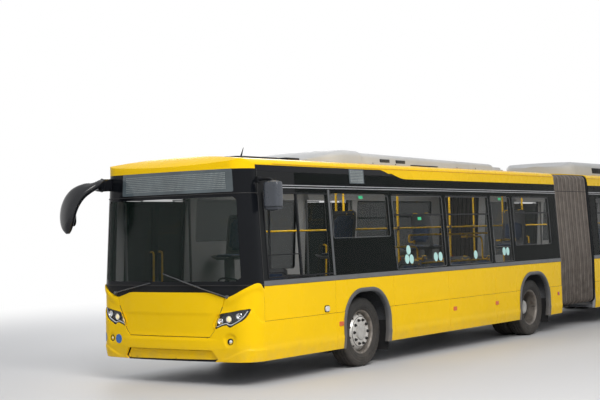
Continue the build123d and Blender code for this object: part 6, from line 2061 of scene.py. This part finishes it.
SHELL_LINE = [(0.010, 0.412), (0.030, 0.430), (0.10, 0.428), (0.22, 0.424), (0.33, 0.420), (0.378, 0.432),
              (0.402, 0.470), (0.420, 0.58), (0.438, 0.70), (0.456, 0.82), (0.474, 0.94), (0.487, 1.02),
              (0.492, 1.042)]


def seat_frame(place_at):
    """Placement of a seat from its own axes to the bus."""
    x, y, base, facing = place_at
    turn = Matrix.Identity(4) if facing == 1 else Matrix.Rotation(math.pi, 4, "Z")
    return Matrix.Translation((x, at(y), base)) @ turn


def seat_body(shape, matrix):
    """Shell with turned-up edges, pedestal and foot plate."""
    n, rows = 11, []
    path = [Vector((0, y, z)) for y, z in SHELL_LINE]
    for i, p in enumerate(path):
        ahead = (path[min(i + 1, len(path) - 1)] - path[max(i - 1, 0)]).normalized()
        normal = Vector((0, -ahead.z, ahead.y))
        half = 0.208 - 0.045 * max(0, 1 - i / 1.6) ** 2 - 0.05 * max(0, 1 - (len(path) - 1 - i) / 1.8) ** 2
        ring = []
        for k in range(n):
            v = -1 + 2 * k / (n - 1)
            ring.append(Vector((half * v, 0, 0)) + p + normal * 0.022 * smooth(abs(v), 0.72, 1.0))
        for k in range(n):
            v = 1 - 2 * k / (n - 1)
            ring.append(Vector((half * v, 0, 0)) + p + normal * (0.022 * smooth(abs(v), 0.72, 1.0) - 0.014))
        rows.append(ring)
    verts = [matrix @ p for ring in rows for p in ring]
    shape.add(verts, ring_faces(len(rows), 2 * n, caps=True))
    post = Shape()
    box_shape(post, (-0.055, 0.150, 0.012), (0.055, 0.262, 0.405), 0.014)
    box_shape(post, (-0.13, 0.125, 0.003), (0.13, 0.290, 0.014), 0.004)
    box_shape(post, (-0.17, 0.10, 0.385), (0.17, 0.30, 0.412), 0.010)
    shape.add([matrix @ p for p in post.verts], post.faces)


def pad_mesh(name, wide, long, thick, crown):
    """Crowned closed pad with a welt and sewn channels; its swelling comes from a cloth simulation."""
    build = bmesh.new()
    bmesh.ops.create_cube(build, size=1)
    for v in build.verts:
        v.co = Vector((v.co.x * (wide - 0.014), v.co.y * (long - 0.014), (v.co.z + 0.5) * (thick - 0.012)))
    sides = [e for e in build.edges if abs(e.verts[0].co.z - e.verts[1].co.z) > 1e-4]
    bmesh.ops.bevel(build, geom=sides, offset=0.05, segments=5, affect="EDGES")
    bmesh.ops.bevel(build, geom=[e for e in build.edges if e.calc_face_angle(0) > 1.2], offset=0.009,
                    segments=3, affect="EDGES")
    mesh = bpy.data.meshes.new(name)
    build.to_mesh(mesh)
    build.free()
    source = bpy.data.objects.new(name + "_blank", mesh)
    bpy.context.scene.collection.objects.link(source)
    remesh = source.modifiers.new("remesh", "REMESH")
    remesh.mode = "VOXEL"
    remesh.voxel_size = 0.0125
    flat = source.evaluated_get(bpy.context.evaluated_depsgraph_get())
    ready = bpy.data.meshes.new_from_object(flat)
    source.modifiers.clear()
    source.data = ready
    start = [v.co.copy() for v in ready.vertices]
    cloth = source.modifiers.new("cloth", "CLOTH")
    cloth.settings.use_pressure = True
    cloth.settings.uniform_pressure_force = 4.0
    cloth.settings.effector_weights.gravity = 0.0
    cloth.settings.quality = 5
    cloth.point_cache.frame_start, cloth.point_cache.frame_end = 1, 20
    for step in range(1, 21):
        bpy.context.scene.frame_set(step)
    swollen = source.evaluated_get(bpy.context.evaluated_depsgraph_get())
    moved = [v.co.copy() for v in swollen.data.vertices]
    bpy.context.scene.frame_set(1)
    source.modifiers.clear()
    for v, a, b in zip(ready.vertices, start, moved):
        push = b - a
        limit = 0.010
        v.co = a + (push if push.length < limit else push.normalized() * limit)
    half_w, half_l = wide / 2, long / 2
    for v in ready.vertices:
        x, y, z = v.co
        z = max(z, 0.0)
        top = smooth(z, thick * 0.35, thick * 0.8)
        dome = (1 - min(1, abs(x) / half_w) ** 2.4) * (1 - min(1, abs(y) / half_l) ** 2.4)
        z += top * (crown * dome - 0.004)
        for channel in (-0.105, 0.105):
            z -= top * 0.006 * math.exp(-(((x - channel) / 0.009) ** 2))
        z -= top * 0.005 * math.exp(-(((y + half_l * 0.42) / 0.009) ** 2)) * (
            1 - smooth(abs(x), 0.100, 0.108))
        v.co = Vector((min(max(x, -half_w), half_w), min(max(y, -half_l), half_l), min(z, thick + crown)))
    bpy.data.objects.remove(source)
    ready.materials.clear()
    ready.materials.append(seat_cloth)
    ready.shade_smooth()
    # piping round the pad where its cover is sewn
    welt = Shape()
    seam_line = inset(rounded(-half_w, -half_l, half_w, half_l, 0.055, 5), 0.0035)
    run = [(x, y, thick * 0.52) for x, y in seam_line]
    tube(welt, curve_points(run + run[:1], 0.02), 0.0035, 6)
    return ready, welt


bpy.context.scene.frame_set(1)
pan_pad, pan_welt = pad_mesh("pan_pad", 0.372, 0.335, 0.036, 0.010)
back_pad, back_welt = pad_mesh("back_pad", 0.372, 0.500, 0.030, 0.008)
PAN_AT = Matrix.Translation((0, 0.195, 0.428)) @ Matrix.Rotation(math.radians(-1.2), 4, "X")
BACK_AT = Matrix.Translation((0, 0.4475, 0.745)) @ Matrix.Rotation(math.radians(81.5), 4, "X")
for name, seats in (("front", FRONT_SEATS), ("rear", REAR_SEATS)):
    body = f"{name}_car"
    shells, welts, grips = Shape(), Shape(), Shape()
    for k, where in enumerate(seats):
        matrix = seat_frame(where)
        seat_body(shells, matrix)
        for part, pad, welt, local in (("pan", pan_pad, pan_welt, PAN_AT),
                                       ("back", back_pad, back_welt, BACK_AT)):
            mesh = pad.copy()
            mesh.transform(matrix @ local)
            cushion = bpy.data.objects.new(f"seat_{name}_{k}_{part}_pad", mesh)
            bpy.context.scene.collection.objects.link(cushion)
            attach(cushion, body)
            welts.add([matrix @ local @ v for v in welt.verts], welt.faces)
        if where[2] != 0.36 or k:
            line = [(0.15, 0.480, 0.985), (0.15, 0.500, 1.030), (0.125, 0.502, 1.044), (0.06, 0.503, 1.044),
                    (0.04, 0.500, 1.030), (0.04, 0.480, 0.985)]
            tube(grips, [matrix @ p for p in soft_line(line, 2)], 0.009, 8)
    piece = shells.place(f"seat_shells_{name}", seat_shell, body, 45, "seat")
    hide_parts(f"seats_{name}")
    welts.place(f"seat_piping_{name}", rubber, body, 60, "seat")
    grips.place(f"seat_grips_{name}", rail_yellow, body, 60, "rail")

# Ceiling: a pale lining sheet with a lamp strip along each side of it
ceiling_sheet = finish_of("ceiling_sheet", (0.46, 0.46, 0.45), 0.55, vary=0.1)
strip_cover = finish_of("strip_cover", (0.60, 0.61, 0.60), 0.4, vary=0.05)


def lining(u, v, out=0.0):
    """Point on the ceiling from a station and a place across the bus, out being downward."""
    return Vector((v, at(u), ceiling_at(v) - out))


for name, y0, y1 in (("front", 1.72, 9.10), ("rear", 10.80, 17.55)):
    body = f"{name}_car"
    strips = Shape()
    for side in (1, -1):
        tube(strips, [(side * 0.62, at(y), ceiling_at(0.62) - 0.035)
                      for y in np.linspace(y0 + 0.1, y1 - 0.1, 30)], 0.028, 8, 0.5)
    strips.place(f"ceiling_lamps_{name}", strip_cover, body, 50, "trim")
    sheet_part = Shape()
    panel(sheet_part, lining, rounded(y0, -1.04, y1, 1.04, 0.05, 3), out=0.008, thick=0.005, rim=0.002,
          step=0.2)
    sheet_part.place(f"ceiling_lining_{name}", ceiling_sheet, body, 50, "trim")

# Grab rails along the left wall, seen through the glass
GRAB_LINES = (
    ((4.215, 1.690), (4.215, 1.788), (4.300, 1.792), (5.130, 1.792)),
    ((3.660, 1.622), (4.330, 1.622), (4.452, 1.600), (4.452, 1.430)),
    ((4.455, 1.440), (4.455, 1.366), (4.560, 1.362), (5.110, 1.372)),
    ((5.250, 1.786), (6.740, 1.786)),
    ((5.860, 1.740), (6.400, 1.736), (6.555, 1.720), (6.555, 1.365)),
    ((5.300, 1.365), (6.640, 1.356)),
    ((7.080, 1.657), (7.600, 1.657)),
)
grabs, stubs = Shape(), Shape()
for line in GRAB_LINES:
    points = soft_line([(1.080, at(y), z) for y, z in line], 2)
    tube(grabs, curve_points(points, 0.05), 0.015, 10, up=(1, 0, 0))
    for y, z in (line[0], line[-1]):
        lathe(stubs, [(0.0, 0.011), (0.075, 0.011), (0.078, 0.030), (0.084, 0.030)], (1.085, at(y), z),
              (1, 0, 0), 16)
grabs.place("grab_rails", rail_yellow, "front_car", 50, "rail")
stubs.place("grab_rail_stubs", rail_yellow, "front_car", 50, "rail")

# Window marks: blank discs in groups on the glass, small stickers near the top of some panes
marks = Shape()
for y, z in ((3.834, 1.449), (3.960, 1.445), (3.890, 1.580), (4.681, 1.455), (4.825, 1.457), (5.963, 1.450),
             (6.975, 1.474), (7.105, 1.471)):
    panel(marks, left, circle(y, z, 0.060, 28, 1.14), out=0.0048, thick=0.0015, rim=0.0004, step=0.1)
marks.place("window_discs", leaf_disc, "front_car", 40, "trim")
stickers = Shape()
for y, z in ((2.711, 2.345), (4.285, 2.037), (6.965, 2.345)):
    panel(stickers, left, rounded(y - 0.052, z - 0.022, y + 0.052, z + 0.022, 0.006), out=0.0048,
          thick=0.0015, rim=0.0004, step=0.1)
stickers.place("window_stickers", finish_of("sticker_green", (0.01, 0.50, 0.20), 0.4, vary=0.08),
               "front_car", 40, "trim")

# Rows of unlit dots behind the glass of the front sign and of the side display
dot_paint = finish_of("sign_dots", (0.24, 0.27, 0.27), 0.5, vary=0.2, vary_scale=8)
DOT_CORNERS = ((-1, -1), (1, -1), (1, 1), (-1, 1))
dots = Shape()
for row in range(9):
    for column in range(88):
        s, z = -0.78 + column * 0.0205, 2.452 + row * 0.0235
        p = [nose(s + 0.006 * a, z + 0.006 * b, 0.0052) for a, b in DOT_CORNERS]
        dots.add(p, [[0, 1, 2, 3]])
for row in range(8):
    for column in range(16):
        y, z = 2.500 + column * 0.0200, 2.556 + row * 0.0215
        p = [left(y + 0.007 * a, z + 0.007 * b, 0.0092) for a, b in DOT_CORNERS]
        dots.add(p, [[0, 1, 2, 3]])
dots.place("sign_dots", dot_paint, "front_car", 40, "trim")


# Stage: pale floor, soft light, the photo's camera
def seen_rays(nodes, links):
    """1 for the rays of the camera, of reflections and through glass."""
    ray = nodes.new("ShaderNodeLightPath").outputs
    direct = math_node(nodes, links, "MAXIMUM", ray["Is Camera Ray"], ray["Is Glossy Ray"])
    return math_node(nodes, links, "MAXIMUM", direct, ray["Is Transmission Ray"])


def stage_material(name, color, rough):
    """Pale stage surface that turns to plain white away from the bus for the camera and for reflections."""
    material, nodes, links = new_material(name)
    shader = nodes["Principled BSDF"]
    shader.inputs["Base Color"].default_value = (*color, 1)
    shader.inputs["Roughness"].default_value = rough
    shader.inputs["Specular IOR Level"].default_value = 0.2
    glow = nodes.new("ShaderNodeEmission")
    glow.inputs["Color"].default_value = (1, 1, 1, 1)
    glow.inputs["Strength"].default_value = 1.0
    where = nodes.new("ShaderNodeTexCoord")
    axes = axes_of(nodes, links, where)
    pair = nodes.new("ShaderNodeCombineXYZ")
    links.new(math_node(nodes, links, "MULTIPLY", axes["X"], 1.6), pair.inputs["X"])
    links.new(axes["Y"], pair.inputs["Y"])
    length = nodes.new("ShaderNodeVectorMath")
    length.operation = "LENGTH"
    links.new(pair.outputs["Vector"], length.inputs[0])
    fade = nodes.new("ShaderNodeMapRange")
    fade.interpolation_type = "SMOOTHSTEP"
    fade.inputs["From Min"].default_value = 11.0
    fade.inputs["From Max"].default_value = 26.0
    links.new(length.outputs["Value"], fade.inputs["Value"])
    amount = math_node(nodes, links, "MULTIPLY", seen_rays(nodes, links), fade.outputs["Result"])
    mix = nodes.new("ShaderNodeMixShader")
    links.new(amount, mix.inputs[0])
    links.new(shader.outputs[0], mix.inputs[1])
    links.new(glow.outputs[0], mix.inputs[2])
    links.new(mix.outputs[0], nodes["Material Output"].inputs["Surface"])
    return material


floor_mesh = bpy.data.meshes.new("studio_floor")
floor_mesh.from_pydata([(-150, -150, 0), (150, -150, 0), (150, 150, 0), (-150, 150, 0)], [], [(0, 1, 2, 3)])
studio_floor = bpy.data.objects.new("studio_floor", floor_mesh)
bpy.context.scene.collection.objects.link(studio_floor)
floor_mesh.materials.append(stage_material("studio_floor", (0.62, 0.62, 0.63), 0.6))

world = bpy.data.worlds.new("studio")
bpy.context.scene.world = world
world.use_nodes = True
nodes, links = world.node_tree.nodes, world.node_tree.links
nodes.clear()
lit = nodes.new("ShaderNodeBackground")
lit.inputs["Color"].default_value = (0.93, 0.96, 1.0, 1)
lit.inputs["Strength"].default_value = 0.50
seen = nodes.new("ShaderNodeBackground")
seen.inputs["Color"].default_value = (1, 1, 1, 1)
seen.inputs["Strength"].default_value = 1.0
mix = nodes.new("ShaderNodeMixShader")
links.new(seen_rays(nodes, links), mix.inputs[0])
links.new(lit.outputs[0], mix.inputs[1])
links.new(seen.outputs[0], mix.inputs[2])
output = nodes.new("ShaderNodeOutputWorld")
links.new(mix.outputs[0], output.inputs["Surface"])


def lamp(name, place_at, aim, size, power, color=(1, 1, 1)):
    """Soft rectangular lamp that faces a point."""
    data = bpy.data.lights.new(name, "AREA")
    data.shape = "RECTANGLE"
    data.size, data.size_y = size
    data.energy = power
    data.color = color
    thing = bpy.data.objects.new(name, data)
    thing.location = place_at
    thing.rotation_euler = (Vector(aim) - Vector(place_at)).to_track_quat("-Z", "Y").to_euler()
    bpy.context.scene.collection.objects.link(thing)
    return thing


lamp("key", (11, -14, 11), (0, -3, 1.0), (9, 7), 1880, (1.0, 0.97, 0.93))
lamp("top", (0, 0, 13), (0, 0, 0), (10, 22), 250)
lamp("back_fill", (-13, 8, 7), (0, 2, 1.0), (10, 7), 700)
CABIN_LAMP_Z = 2.62
for station in (5.4, 13.6):
    cabin = lamp("cabin", (0, at(station), CABIN_LAMP_Z), (0, at(station), 0), (1.1, 6.4), 75,
                 (1.0, 0.98, 0.94))
    cabin.visible_camera = False
    cabin.visible_glossy = False

camera_data = bpy.data.cameras.new("camera")
camera_data.sensor_width = 36.0
camera_data.lens = 76.70
camera_data.clip_end = 400
camera = bpy.data.objects.new("camera", camera_data)
bpy.context.scene.collection.objects.link(camera)
azimuth, elevation, roll = (math.radians(v) for v in (35.4647, -1.4001, -1.5097))
ahead = Vector((-math.sin(azimuth) * math.cos(elevation), math.cos(azimuth) * math.cos(elevation),
                -math.sin(elevation)))
across = ahead.cross(Vector((0, 0, 1))).normalized()
upward = across.cross(ahead)
turned = math.cos(roll) * across + math.sin(roll) * upward
raised = -math.sin(roll) * across + math.cos(roll) * upward
frame_axes = Matrix((turned, raised, -ahead)).transposed().to_4x4()
camera.matrix_world = Matrix.Translation((10.8253, -20.985, 1.8944)) @ frame_axes
bpy.context.scene.camera = camera
bpy.context.scene.view_settings.view_transform = "Standard"

bpy.context.view_layer.update()
